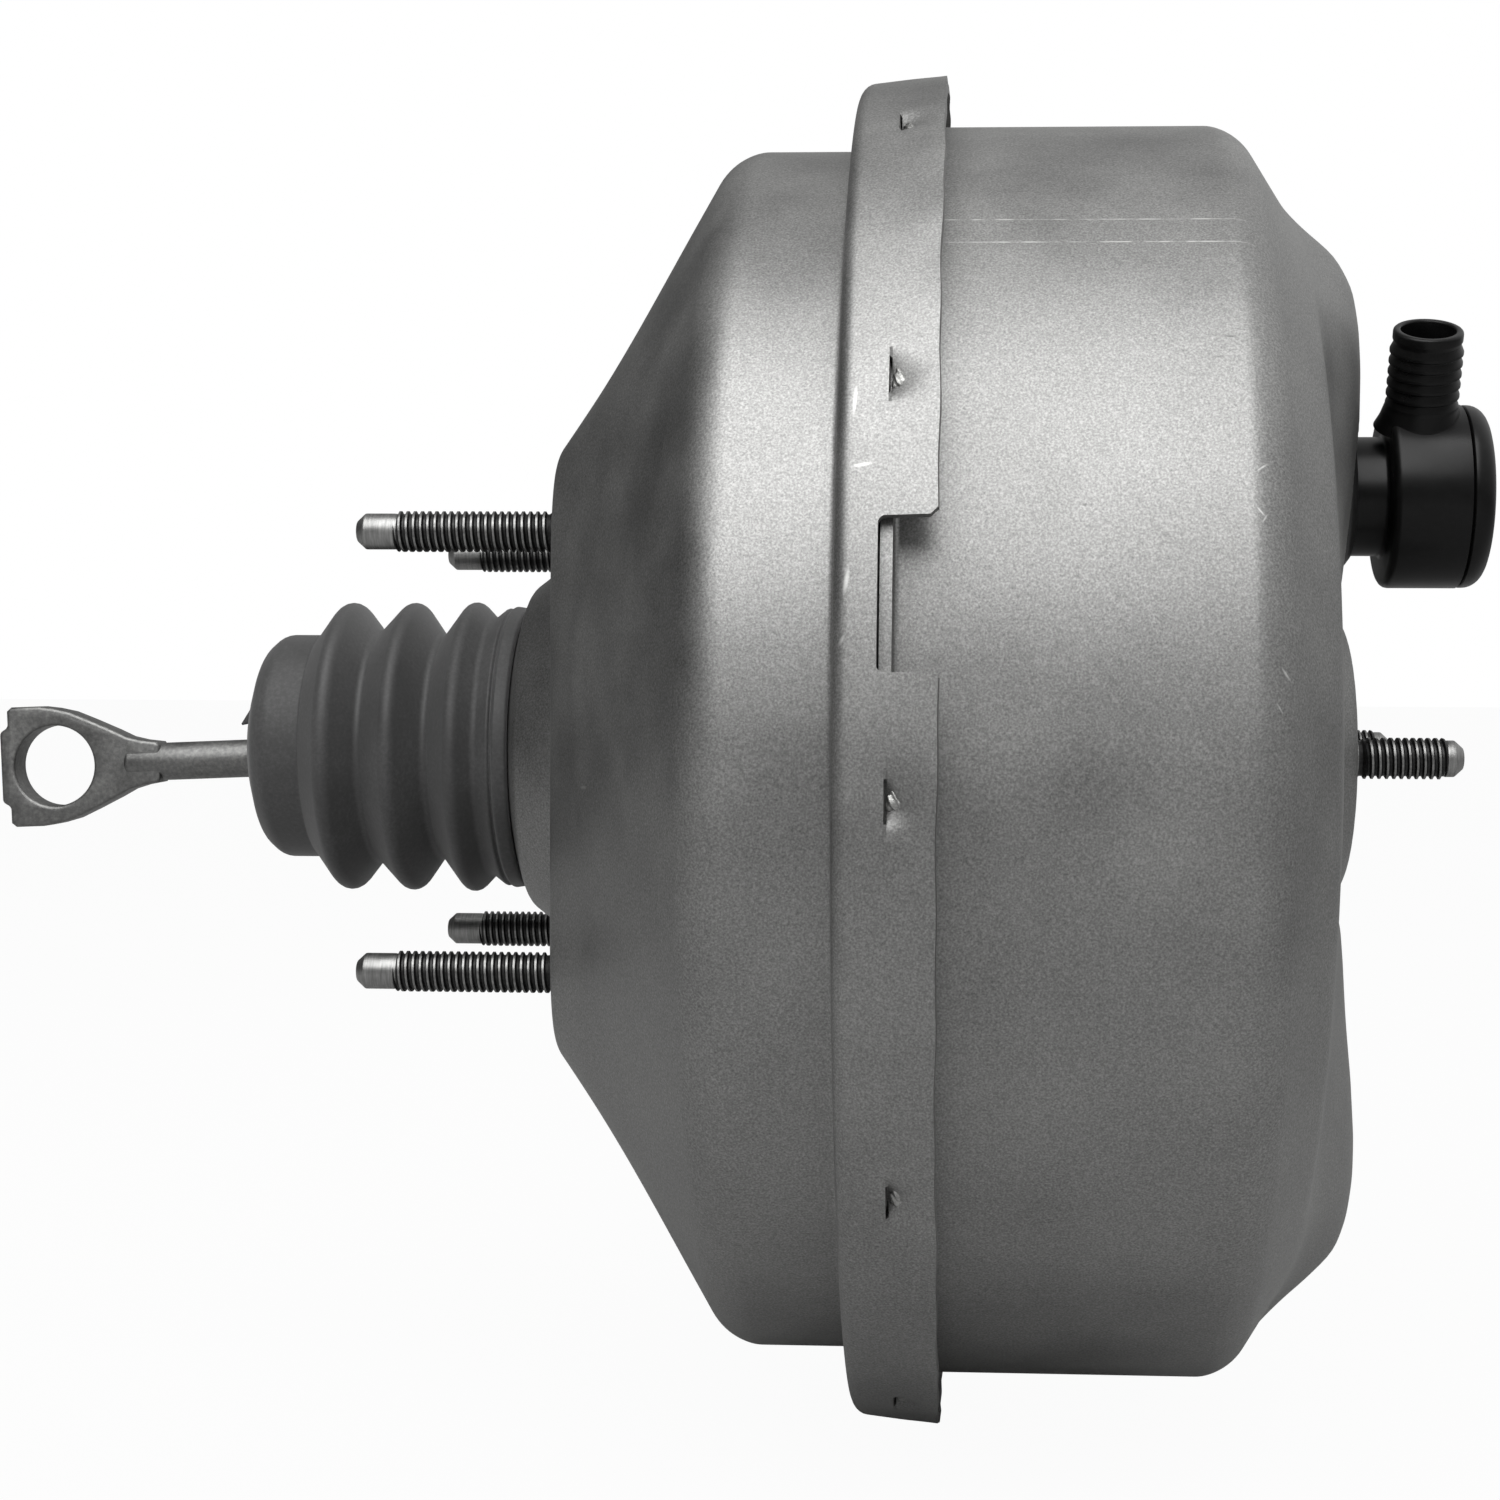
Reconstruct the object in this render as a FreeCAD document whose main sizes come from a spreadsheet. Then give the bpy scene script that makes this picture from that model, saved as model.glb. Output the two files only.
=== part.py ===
"""Vacuum brake booster with two diaphragms in one steel housing.

Millimetres. The origin is the centre of the firewall mounting face, +X points to the master
cylinder, +Z is up and -Y is the side that carries the vacuum nipple's lean.
"""
import FreeCAD, Part
import math
import os
import re

import Sketcher
from FreeCAD import Placement, Rotation, Vector

os.makedirs("parts", exist_ok=True)
doc = FreeCAD.newDocument("BrakeBooster")

SIZES = [
    # housing sheet metal
    ("wall", 2.0, "thickness of both housing shells"),
    ("neck_radius", 26.0, "outside of the rear neck that holds the hub seal"),
    ("neck_length", 24.0, "from the firewall face to the end of the neck"),
    ("neck_straight", 10.5, "straight length of the neck that the boot grips"),
    ("step_radius", 33.5, "step in front of the boot's lip"),
    ("step_length", 2.3, "along the axis"),
    ("flare_radius", 42.0, "where the flare meets the firewall face"),
    ("face_margin", 8.587, "firewall face beyond the axes of its studs"),
    ("rear_inset", 5.0, "cylinder behind the clinched band, lower than the front drum"),
    ("cone_depth", 33.7, "depth of the rear cone"),
    ("band_start", 56.4, "rear wall of the clinched band"),
    ("band_stand", 7.1, "band at its rear corner, above the front drum"),
    ("band_flare", 2.5, "band at its free edge, above its rear corner"),
    ("band_length", 18.0, "along the axis"),
    ("cone_bend", 10.0, "outside bend between cone and cylinder"),
    ("face_bend", 6.0, "outside bend at the firewall face"),
    ("band_bend", 5.0, "outside bend of the band"),
    ("foot_bend", 1.5, "inside bend at the foot of the band"),
    ("notch_depth", 8.6, "clocking notch in the free edge"),
    ("notch_width", 25.4, "around the band"),
    ("notch_angle", 12.5, "first notch above the near side"),
    ("notch_count", 3, "notches round the band"),
    ("lance_count", 12, "lanced tabs that lock the front shell"),
    ("lance_inset", 6.4, "slit of a lance behind the free edge"),
    ("lance_width", 7.0, "slit length round the band"),
    ("lance_slit", 0.8, "slit width"),
    ("drum_radius", 127.2, "front drum"),
    ("drum_end", 129.5, "where the front corner starts"),
    ("drum_bend", 12.0, "bend of the drum corner"),
    ("shoulder", 145.0, "level of the shoulder round the front face"),
    ("shoulder_inset", 18.2, "from the drum in to the shoulder"),
    ("shoulder_rise", 3.8, "rise of the shoulder from its outer edge to the crease"),
    ("crease_inset", 25.0, "width of the shoulder"),
    ("dome", 2.6, "rise of the front face from the shoulder to the pad"),
    ("pad_level", 152.8, "master cylinder pad"),
    ("pad_margin", 11.64, "pad beyond the axis of each stud"),
    ("pad_height", 54.6, "pad from top to bottom"),
    ("lobe_level", 156.8, "highest level of the two front lobes"),
    ("lobe_inset", 49.2, "from the drum in to that level"),
    ("lobe_fall", 12.5, "from the shoulder's edge in to the outer end of a lobe"),
    ("lobe_foot", 6.5, "foot of a lobe's end slope outside the shoulder's edge"),
    ("lobe_width", 58.0, "lobe across"),
    ("lobe_bend", 9.0, "rounding along a lobe"),
    ("lobe_nose", 13.0, "rounding at the outer end of a lobe"),
    ("socket_radius", 20.5, "bore for the master cylinder's nose"),
    ("socket_depth", 14.0, "depth of that bore"),
    ("rod_seal_length", 4.5, "seal in the floor of that bore"),
    # fasteners
    ("stud_square", 85.72, "side of the firewall stud square"),
    ("stud_diameter", 7.94, "five sixteenths of an inch"),
    ("knurl_diameter", 8.6, "knurled shank pressed into the sheet"),
    ("stud_reach", 39.8, "firewall stud beyond the face"),
    ("stud_dog", 7.4, "plain pilot at the end of a firewall stud"),
    ("dog_diameter", 7.0, "pilot diameter"),
    ("cylinder_stud_reach", 21.0, "front stud beyond the pad"),
    ("cylinder_stud_dog", 3.1, "plain pilot at the end of a front stud"),
    ("stud_head_diameter", 15.0, "head inside the shell"),
    ("stud_head", 2.5, "thickness of the head"),
    ("plate_thickness", 2.0, "stiffening plates inside both shells"),
    ("backing_inset", 3.4, "rear stiffening plate inside the edge of the face"),
    ("backing_bore", 48.0, "hole of the rear stiffening plate"),
    ("front_plate_room", 0.3, "between the front stiffening plate and the pad's walls"),
    # power piston
    ("hub_radius", 21.3, "valve body where it slides through the seals"),
    ("hub_length", 66.0, "valve body behind the firewall face"),
    ("filter_room", 36.0, "rear chamber of the valve body, behind the poppet"),
    ("bearing_start", 9.0, "rear end of the hub's bearing, where the seal begins"),
    ("bearing_end", 2.0, "front end of that bearing"),
    ("bearing_wall", 3.5, "thickness of that bearing"),
    ("running_fit", 0.08, "radial clearance of sliding fits"),
    ("clearance", 0.3, "gap between soft or pressed pieces that move"),
    ("stroke", 32.0, "travel of the power piston"),
    ("rear_plate_place", 8.5, "rear support plate at rest"),
    ("support_thickness", 1.5, "both support plates"),
    ("support_flat", 62.0, "flat middle of a support plate"),
    ("fold_room", 19.2, "between the edge of a support plate and the housing's wall"),
    ("support_cone", 22.0, "depth of the cone of a support plate"),
    ("support_rim", 6.0, "plain rim outside that cone"),
    ("rubber", 1.5, "diaphragm thickness"),
    ("divider_thickness", 1.2, "plate between the two chambers"),
    ("piston_gap", 4.0, "rear plate to the divider at full stroke"),
    ("divider_bore", 24.6, "hole of the divider"),
    ("divider_lip", 2.1, "sliding seal on each side of the divider"),
    ("divider_grip", 2.5, "sliding seal over the edge of that hole"),
    ("flange_radius", 26.0, "flange of the valve body"),
    ("nose_radius", 19.0, "front nose of the valve body"),
    ("nose_length", 15.0, "valve body ahead of the front support plate"),
    ("bead", 3.0, "clamped bead of each diaphragm"),
    ("chamber_bore", 17.4, "rear bore of the valve body"),
    ("seat_place", -8.0, "floor of that bore, where the poppet seals"),
    ("disc_radius", 15.0, "reaction disc"),
    ("disc_thickness", 6.0, "reaction disc"),
    ("rod_radius", 5.0, "output rod"),
    ("rod_recess", 2.8, "end of the output rod behind the pad at rest"),
    ("pin_length", 4.0, "thinner end of the output rod"),
    ("pin_step", 1.0, "how much thinner it is, and the chamfer before it"),
    ("pin_point", 1.3, "length of its blunt point"),
    ("pin_point_fall", 1.5, "how far the blunt point narrows"),
    ("retainer_wall", 1.2, "cap that holds the output rod on the nose"),
    ("retainer_skirt", 9.0, "length of that cap along the nose"),
    ("spring_radius", 31.0, "piston return spring, to the wire's centre"),
    ("spring_wire", 3.6, "wire of the piston return spring"),
    ("spring_turns", 6.0, "turns of the piston return spring"),
    # control valve
    ("plunger_radius", 6.5, "air valve plunger"),
    ("cup_radius", 8.5, "socket end of the plunger"),
    ("ball_radius", 5.0, "ball end of the pedal pushrod"),
    ("ball_place", -10.0, "centre of that ball"),
    ("poppet_lip", 3.0, "thickness of the poppet where it seals"),
    ("poppet_room", 2.4, "air gap round the poppet"),
    ("poppet_flange", 4.0, "rear flange of the poppet"),
    ("poppet_wire", 1.1, "wire of the poppet spring"),
    ("retainer_length", 3.0, "ring that holds the poppet's flange"),
    ("retainer_hole", 8.2, "hole of that ring"),
    ("rod_wire", 1.3, "wire of the pushrod's return spring"),
    ("filter_inset", 2.0, "air filter inside the end of the valve body"),
    ("filter_length", 9.0, "air filter"),
    ("silencer_length", 3.8, "air silencer"),
    ("lost_motion", 2.5, "travel of the plunger in the valve body"),
    ("key_thickness", 2.5, "stop key"),
    ("key_waist", 4.5, "plunger inside the stop key"),
    # pedal pushrod
    ("pushrod_diameter", 8.0, "shank"),
    ("eye_place", 104.8, "eye centre from the ball"),
    ("droop", 2.5, "degrees that the rod hangs at rest"),
    ("eye_bore", 17.1, "hole for the pedal pin"),
    ("eye_height", 25.5, "flat eye plate"),
    ("eye_thickness", 7.0, "flat eye plate"),
    ("eye_rear", 22.4, "plate from the eye centre towards the booster"),
    ("eye_ear", 9.9, "plate from the eye centre to its ears"),
    ("eye_nose", 11.6, "plate from the eye centre to its nose"),
    ("nose_height", 15.6, "flat of the nose"),
    # dust boot
    ("boot_wall", 1.6, "rubber of the boot"),
    ("boot_crest", 30.1, "crests of the folds"),
    ("boot_valley", 24.9, "valleys of the folds"),
    ("boot_cup", 23.4, "cup over the end of the valve body"),
    ("boot_tail", 7.2, "boot behind the end of the valve body"),
    ("boot_hole", 7.6, "hole for the pushrod"),
    ("boot_lip", 29.4, "lip round the neck"),
    ("boot_pitch", 13.6, "crest to crest"),
    # check valve
    ("valve_y", -15.0, "check valve across"),
    ("valve_z", 52.0, "check valve above the axis"),
    ("seat_level", 152.2, "seat of the grommet on the lobe"),
    ("grommet_radius", 14.5, "visible flange"),
    ("grommet_waist", 12.0, "waist in the shell's hole"),
    ("grommet_flange", 3.3, "thickness of the visible flange"),
    ("valve_neck", 11.95, "neck between grommet and body"),
    ("valve_stem", 7.0, "stem through the grommet"),
    ("valve_body_radius", 18.4, "round body"),
    ("valve_body_start", 162.0, "rear face of the body"),
    ("valve_seam", 177.4, "seam between body and cap"),
    ("valve_end", 182.0, "front face of the cap"),
    ("valve_wall", 2.2, "moulded wall"),
    ("nipple_place", 168.4, "nipple along the valve"),
    ("nipple_radius", 7.0, "over the barbs"),
    ("nipple_bore", 5.3, "inside"),
    ("barb_pitch", 2.4, "barb to barb"),
    ("nipple_reach", 34.0, "end of the nipple from the valve's axis"),
    ("nipple_lean", 27.0, "degrees from upright towards the near side"),
]

# Places that follow from the sizes above
PLACES = {
    "face_radius": "stud_square / sqrt(2) + face_margin",
    "backing_radius": "face_radius - backing_inset",
    "pad_length": "stud_square + 2 * pad_margin",
    "lobe_peak": "drum_radius - lobe_inset",
    "boot_length": "hub_length + boot_tail",
    "rear_radius": "drum_radius - rear_inset",
    "band_radius": "drum_radius + band_stand",
    "band_lip_radius": "band_radius + band_flare",
    "shoulder_radius": "drum_radius - shoulder_inset",
    "crease_radius": "shoulder_radius - crease_inset",
    "lobe_edge": "shoulder_radius",
    "support_radius": "rear_radius - wall - fold_room",
    "support_cone_edge": "support_radius - support_rim",
    "band_end": "band_start + band_length",
    "bead_start": "band_start + wall",
    "bead_outer": "band_radius - band_bend - 0.2",
    "flange_start": "band_end - notch_depth + 0.1",
    "divider_clamp": "bead_start + bead",
    "divider_place": "rear_plate_place + support_thickness + stroke + piston_gap",
    "divider_wall": "rear_radius - wall - 3",
    "front_plate_place": "divider_place + 4 + rubber",
    "nose_start": "front_plate_place + support_thickness",
    "nose_end": "nose_start + nose_length",
    "disc_back": "nose_end - disc_thickness - 4",
    "disc_front": "disc_back + disc_thickness",
    "rod_tip": "pad_level - rod_recess",
    "key_front": "nose_start - 26",
    "poppet_back": "-hub_length + filter_room",
    "poppet_step": "seat_place - poppet_lip",
    "ball_floor": "ball_place + ball_radius",
    "collar_place": "poppet_back - 14.5",
    "cup_end": "pad_level - socket_depth",
    "plate_back": "pad_level - wall - plate_thickness",
    "shell_inside": "seat_level - wall",
    "valve_inside": "valve_body_radius - valve_wall",
    "poppet_seat": "valve_body_start + valve_wall",
}

sheet = doc.addObject("Spreadsheet::Sheet", "Sizes")
for row, (alias, value, meaning) in enumerate(SIZES, start=1):
    sheet.set(f"A{row}", meaning)
    sheet.set(f"B{row}", str(value))
    sheet.setAlias(f"B{row}", alias)
doc.recompute()
ALIASES = {alias for alias, _, _ in SIZES}
AXIS_X = Vector(1, 0, 0)
TO_X = Rotation(Vector(0, 1, 0), 90)


def bound(text):
    """The expression with each place written out and each size's name pointing into the sheet."""
    def swap(match):
        word = match[0]
        if word in PLACES:
            return f"({bound(PLACES[word])})"
        return "Sizes." + word if word in ALIASES else word
    return re.sub(r"[a-z_]+", swap, str(text))


def number(text):
    """The present value of an expression of sizes."""
    return float(sheet.evalExpression(bound(text)))


def bind(item, **settings):
    """Ties properties of an object to expressions; x, y, z stand for its place."""
    for key, text in settings.items():
        path = f".Placement.Base.{key}" if key in ("x", "y", "z") else key
        item.setExpression(path, bound(text))
    return item


def draw_corners(sketch, corners, closed):
    """Lines through corners (along, out, bend), each tied to its expressions, with rounded bends."""
    points = [Vector(number(c[0]), number(c[1]), 0) for c in corners]
    count = len(points)
    lines = count if closed else count - 1
    for i in range(lines):
        sketch.addGeometry(Part.LineSegment(points[i], points[(i + 1) % count]))
    for i in range(lines if closed else lines - 1):
        sketch.addConstraint(Sketcher.Constraint("Coincident", i, 2, (i + 1) % count, 1))
    ties = []
    for i, corner in enumerate(corners):
        line, end = (i, 1) if i < lines else (lines - 1, 2)
        for kind, value, text in (("DistanceX", points[i].x, corner[0]),
                                  ("DistanceY", points[i].y, corner[1])):
            index = sketch.addConstraint(Sketcher.Constraint(kind, -1, 1, line, end, value))
            name = f"{kind}_{i}"
            sketch.renameConstraint(index, name)
            ties.append((name, text))
    for i, corner in enumerate(corners):
        if len(corner) > 2:
            before = sketch.GeometryCount
            sketch.fillet((i - 1) % count, 2, number(corner[2]), True, True)
            index = sketch.addConstraint(Sketcher.Constraint("Radius", before, number(corner[2])))
            name = f"Bend_{i}"
            sketch.renameConstraint(index, name)
            ties.append((name, corner[2]))
    for name, text in ties:
        sketch.setExpression(f"Constraints.{name}", bound(text))
    return sketch


def body_sketch(body, name, role="XY_Plane"):
    """A sketch on one of the body's own origin planes."""
    plane = next(f for f in body.Origin.OriginFeatures if f.Role == role)
    sketch = body.newObject("Sketcher::SketchObject", name)
    sketch.AttachmentSupport = [(plane, "")]
    sketch.MapMode = "FlatFace"
    return sketch


def turned(name, *corners):
    """A body turned about the X axis from a closed outline of (along, radius, bend) corners."""
    body = doc.addObject("PartDesign::Body", name)
    sketch = draw_corners(body_sketch(body, name + "_outline"), corners, True)
    turn = body.newObject("PartDesign::Revolution", name + "_turn")
    turn.Profile = sketch
    turn.ReferenceAxis = (sketch, ["H_Axis"])
    turn.Angle = 360
    sketch.Visibility = False
    return body


def ring(name, start, end, inner, outer):
    """A plain turned ring."""
    return turned(name, (start, inner), (end, inner), (end, outer), (start, outer))


def pressed(name, thickness, *corners):
    """Sheet of one thickness turned about X; the corners give its side away from the axis."""
    sketch = doc.addObject("Sketcher::SketchObject", name + "_line")
    draw_corners(sketch, corners, False)
    section = doc.addObject("Part::Offset2D", name + "_section")
    section.Source = sketch
    section.Mode = "Skin"
    section.Join = "Arc"
    section.Fill = True
    section.Value = number(thickness)
    bind(section, Value=thickness)
    turn = doc.addObject("Part::Revolution", name)
    turn.Source = section
    turn.Axis = AXIS_X
    turn.Base = Vector(0, 0, 0)
    turn.Angle = 360
    turn.Solid = True
    return turn


def rod(name, start, end, radius, y="0", z="0"):
    """A plain cylinder along X."""
    item = doc.addObject("Part::Cylinder", name)
    item.Placement = Placement(Vector(0, 0, 0), TO_X)
    return bind(item, Radius=radius, Height=f"{end} - ({start})", x=start, y=y, z=z)


def cut(name, base, *tools):
    """The base without the tools."""
    item = doc.addObject("Part::Cut", name)
    item.Base = base
    item.Tool = tools[0] if len(tools) == 1 else joined(name + "_tools", *tools)
    return item


def fused(name, *items):
    """One solid of several overlapping ones."""
    item = doc.addObject("Part::MultiFuse", name)
    item.Shapes = list(items)
    return item


def joined(name, *items):
    """A group of separate solids."""
    item = doc.addObject("Part::Compound", name)
    item.Links = list(items)
    return item


def mirrored(name, source, normal):
    """The mirror image of an object through the origin."""
    item = doc.addObject("Part::Mirroring", name)
    item.Source = source
    item.Normal = normal
    return item


def spring(name, start, end, radius, wire, turns):
    """A round wire coil along X, its wire's centre between start and end."""
    path = doc.addObject("Part::Helix", name + "_path")
    height = f"({end}) - ({start}) - ({wire})"
    path.SegmentLength = 0.5
    bind(path, Radius=radius, Height=height, Pitch=f"({height}) / ({turns})")
    section = doc.addObject("Part::Circle", name + "_wire")
    section.Placement = Placement(Vector(0, 0, 0), Rotation(AXIS_X, 90))
    bind(section, Radius=f"({wire}) / 2", x=radius)
    coil = doc.addObject("Part::Sweep", name)
    coil.Sections = [section]
    coil.Spine = (path, [])
    coil.Solid = True
    coil.Frenet = True
    coil.Placement = Placement(Vector(0, 0, 0), TO_X)
    return bind(coil, x=f"({start}) + ({wire}) / 2")


NODES = []


def keep(item, label):
    """Names a finished sub-part for its file."""
    item.Label = label
    NODES.append(item)
    return item


def slots_round(name, count, first, start, length, width, radius, depth):
    """Boxes that cut through a wall at even angles, the first one measured from the near side."""
    boxes = []
    for i in range(int(number(count))):
        box = doc.addObject("Part::Box", f"{name}_{i}")
        bind(box, Length=length, Width=width, Height=depth)
        turn = f"({first}) + {i} * 360 / ({count})"
        angle = math.radians(number(turn))
        box.Placement = Placement(Vector(0, 0, 0), Rotation(AXIS_X, math.degrees(angle) + 90))
        box.setExpression(".Placement.Rotation.Angle", bound(f"({turn}) + 90"))
        out_y = f"-cos({turn})"
        out_z = f"-sin({turn})"
        side = f"({width}) / 2"
        near = f"({radius}) - ({depth}) / 2"
        bind(box, x=start, y=f"({near}) * {out_y} + ({side}) * {out_z}",
             z=f"-({near}) * {out_z} + ({side}) * {out_y}")
        boxes.append(box)
    return boxes


def stud(name, root, head, reach, dog, face, facing):
    """A headed stud along X from its head's inner face, knurled up to the sheet's outer face."""
    side = "" if facing > 0 else "-"
    tip = f"{root} + {side}({reach})"
    chamfer = f"{side}(stud_diameter - dog_diameter)"
    return turned(
        name, (root, 0), (root, "stud_head_diameter / 2"),
        (f"{root} + {side}({head})", "stud_head_diameter / 2"),
        (f"{root} + {side}({head})", "knurl_diameter / 2"), (face, "knurl_diameter / 2"),
        (face, "stud_diameter / 2"),
        (f"{tip} - {side}({dog}) - {chamfer}", "stud_diameter / 2"),
        (f"{tip} - {side}({dog})", "dog_diameter / 2"),
        (f"{tip} - {chamfer}", "dog_diameter / 2"),
        (tip, "dog_diameter / 2 - 0.9"), (tip, 0))


# Rear shell: neck, flare, firewall face, cone, cylinder and the clinched band
rear_turn = pressed(
    "rear_shell_turn", "wall", ("-neck_length", "neck_radius"),
    ("-neck_length + neck_straight", "neck_radius", "1.5"),
    ("-neck_length + neck_straight + step_length", "step_radius", "3.5"), (0, "flare_radius", "5"),
    (0, "face_radius", "face_bend"), ("cone_depth", "rear_radius", "cone_bend"),
    ("band_start", "rear_radius", "foot_bend"), ("band_start", "band_radius", "band_bend"),
    ("band_start + band_length", "band_lip_radius"))
notches = slots_round("notch", "notch_count", "notch_angle", "band_end - notch_depth",
                      "notch_depth + 1", "notch_width", "band_lip_radius", "10")
slits = slots_round("slit", "lance_count", "-2", "band_end - lance_inset",
                    "lance_slit", "lance_width", "band_lip_radius", "10")


def firewall_places():
    """The four stud places of the firewall square."""
    return [(f"{a}stud_square / 2", f"{b}stud_square / 2") for a in ("", "-") for b in ("", "-")]


def holes(name, start, end, radius, places):
    """Round holes along X at the given places."""
    return [rod(f"{name}_{i}", start, end, radius, y, z) for i, (y, z) in enumerate(places)]


firewall_holes = holes("firewall_hole", "-1", "wall + plate_thickness + 1",
                       "knurl_diameter / 2 + 0.02", firewall_places())
keep(cut("rear_shell_cut", rear_turn, *notches, *slits, *firewall_holes), "rear_shell")
backing = ring("backing", "wall", "wall + plate_thickness", "backing_bore", "backing_radius")
keep(cut("backing_cut", backing, *firewall_holes), "rear_stiffening_plate")
rear_stud_root = "wall + plate_thickness + stud_head"
quarter = stud("firewall_stud", rear_stud_root, "stud_head", f"stud_reach + {rear_stud_root}",
               "stud_dog", "0", -1)
bind(quarter, y="stud_square / 2", z="stud_square / 2")
side_stud = mirrored("firewall_stud_side", quarter, Vector(0, 1, 0))
half = joined("firewall_stud_pair", quarter, side_stud)
keep(joined("firewall_stud_four", half, mirrored("firewall_stud_low", half, Vector(0, 0, 1))),
     "firewall_studs")


def obround(name, start, end, length, height):
    """A slot-shaped block along X with round ends at plus and minus Y."""
    middle = doc.addObject("Part::Box", name + "_middle")
    bind(middle, Length=f"({end}) - ({start})", Width=f"({length}) - ({height})", Height=height,
         x=start, y=f"-(({length}) - ({height})) / 2", z=f"-({height}) / 2")
    reach = f"(({length}) - ({height})) / 2"
    ends = [rod(f"{name}_end_{i}", start, end, f"({height}) / 2", y=f"{s}{reach}")
            for i, s in enumerate(("", "-"))]
    return fused(name, middle, *ends)


def lobe(name, inset):
    """One raised lobe of the front face, above the axis, smaller all round by the inset."""
    body = doc.addObject("PartDesign::Body", name)
    outline = body_sketch(body, name + "_outline", "XZ_Plane")
    low = "pad_height / 2"
    draw_corners(outline, [
        ("shoulder - 25", low), (f"pad_level - ({inset})", low),
        (f"lobe_level - ({inset})", "lobe_peak"),
        (f"lobe_level - 1 - ({inset})", f"lobe_edge - lobe_fall - ({inset})",
         f"lobe_nose - ({inset})"),
        ("shoulder - 12", f"lobe_edge + lobe_foot - ({inset})"),
        ("shoulder - 25", f"lobe_edge + lobe_foot - ({inset})"),
    ], True)
    pad = body.newObject("PartDesign::Pad", name + "_pad")
    pad.Profile = outline
    pad.Midplane = True
    bind(pad, Length=f"lobe_width - 2 * ({inset})")
    doc.recompute()
    half_width = number(f"lobe_width / 2 - ({inset})")
    front = number("shoulder")
    edges = [f"Edge{i}" for i, e in enumerate(pad.Shape.Edges, start=1)
             if e.CenterOfMass.x > front and abs(abs(e.CenterOfMass.y) - half_width) < 1e-4]
    rounding = body.newObject("PartDesign::Fillet", name + "_rounding")
    rounding.Base = (pad, edges)
    bind(rounding, Radius=f"lobe_bend - ({inset})")
    return body


def front_form(name, inset):
    """The front shell as a full solid, smaller by the inset: the wall is between two of these."""
    face = f"- ({inset})"
    drum = turned(
        name + "_drum", ("flange_start + wall - 0.1", 0),
        ("flange_start + wall - 0.1", f"drum_radius {face}"),
        (f"drum_end {face} / 2", f"drum_radius {face}", f"drum_bend {face}"),
        (f"shoulder - shoulder_rise {face}", f"shoulder_radius {face} / 2", f"8 {face}"),
        (f"shoulder {face}", "crease_radius", "6"),
        (f"shoulder + dome {face}", "pad_length / 2 + 4", "6"),
        (f"pad_level {face}", "pad_height / 2"),
        (f"pad_level {face}", 0))
    pad = obround(name + "_pad", "shoulder - 6", f"pad_level {face}", f"pad_length - 2 * ({inset})",
                  f"pad_height - 2 * ({inset})")
    top = lobe(name + "_lobe", inset)
    low = mirrored(name + "_low_lobe", top, Vector(0, 0, 1))
    whole = fused(name + "_whole", drum, pad, top, low)
    seat = {"y": "valve_y", "z": "valve_z"}
    boss_radius = f"grommet_radius + 2 - ({inset}) / 2"
    over = rod(name + "_over", f"seat_level {face}", "lobe_level + 5",
               f"grommet_radius + 2 + ({inset})", **seat)
    boss = rod(name + "_boss", "shoulder - 6", f"seat_level {face}", boss_radius, **seat)
    return fused(name, cut(name + "_level", whole, over), boss)


# Front shell: drum, shoulder, domed face, pad, two lobes, and a drawn cup for the front seal
outer_form = front_form("front_outer", "0")
inner_form = front_form("front_inner", "wall")
deep = doc.addObject("Part::Cylinder", "front_inner_mouth")
deep.Placement = Placement(Vector(0, 0, 0), TO_X)
bind(deep, Radius="drum_radius - wall", Height="20", x="band_start")
flange = ring("front_flange", "flange_start", "flange_start + wall", "drum_radius - wall", "bead_outer")
cup = turned("front_cup", ("cup_end", "rod_radius + 4.5"), ("cup_end + wall", "rod_radius + 4.5"),
             ("cup_end + wall", "socket_radius"), ("pad_level", "socket_radius"),
             ("pad_level", "socket_radius + wall"), ("cup_end", "socket_radius + wall", "3"))
socket = rod("front_socket", "shoulder - 20", "pad_level + 1", "socket_radius")
cylinder_places = [("stud_square / 2", "0"), ("-stud_square / 2", "0")]
cylinder_holes = holes("cylinder_hole", "pad_level - wall - plate_thickness - 1", "pad_level + 1",
                       "knurl_diameter / 2 + 0.02", cylinder_places)
grommet_hole = rod("grommet_hole", "shoulder - 10", "seat_level + 5", "grommet_waist", "valve_y", "valve_z")
drum_shell = cut("front_walls", outer_form, joined("front_hollow", inner_form, deep))
drum_open = cut("front_walls_open", drum_shell, socket, grommet_hole, *cylinder_holes)
keep(fused("front_shell_whole", drum_open, flange, cup), "front_shell")

front_plate = obround("front_plate", "plate_back", "pad_level - wall",
                      "pad_length - 2 * wall - 2 * front_plate_room",
                      "pad_height - 2 * wall - 2 * front_plate_room")
plate_bore = rod("front_plate_bore", "plate_back - 1", "pad_level", "socket_radius + wall + 0.5")
plate_valve = rod("front_plate_valve", "plate_back - 1", "pad_level", "grommet_radius + 1.5",
                  "valve_y", "valve_z")
keep(cut("front_plate_cut", front_plate, plate_bore, plate_valve, *cylinder_holes),
     "front_stiffening_plate")
front_stud = stud("cylinder_stud", "plate_back - stud_head", "stud_head",
                  "cylinder_stud_reach + wall + plate_thickness + stud_head", "cylinder_stud_dog",
                  "pad_level", 1)
bind(front_stud, y="stud_square / 2")
far_stud = mirrored("cylinder_stud_side", front_stud, Vector(0, 1, 0))
keep(joined("cylinder_stud_pair", front_stud, far_stud), "master_cylinder_studs")

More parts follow.
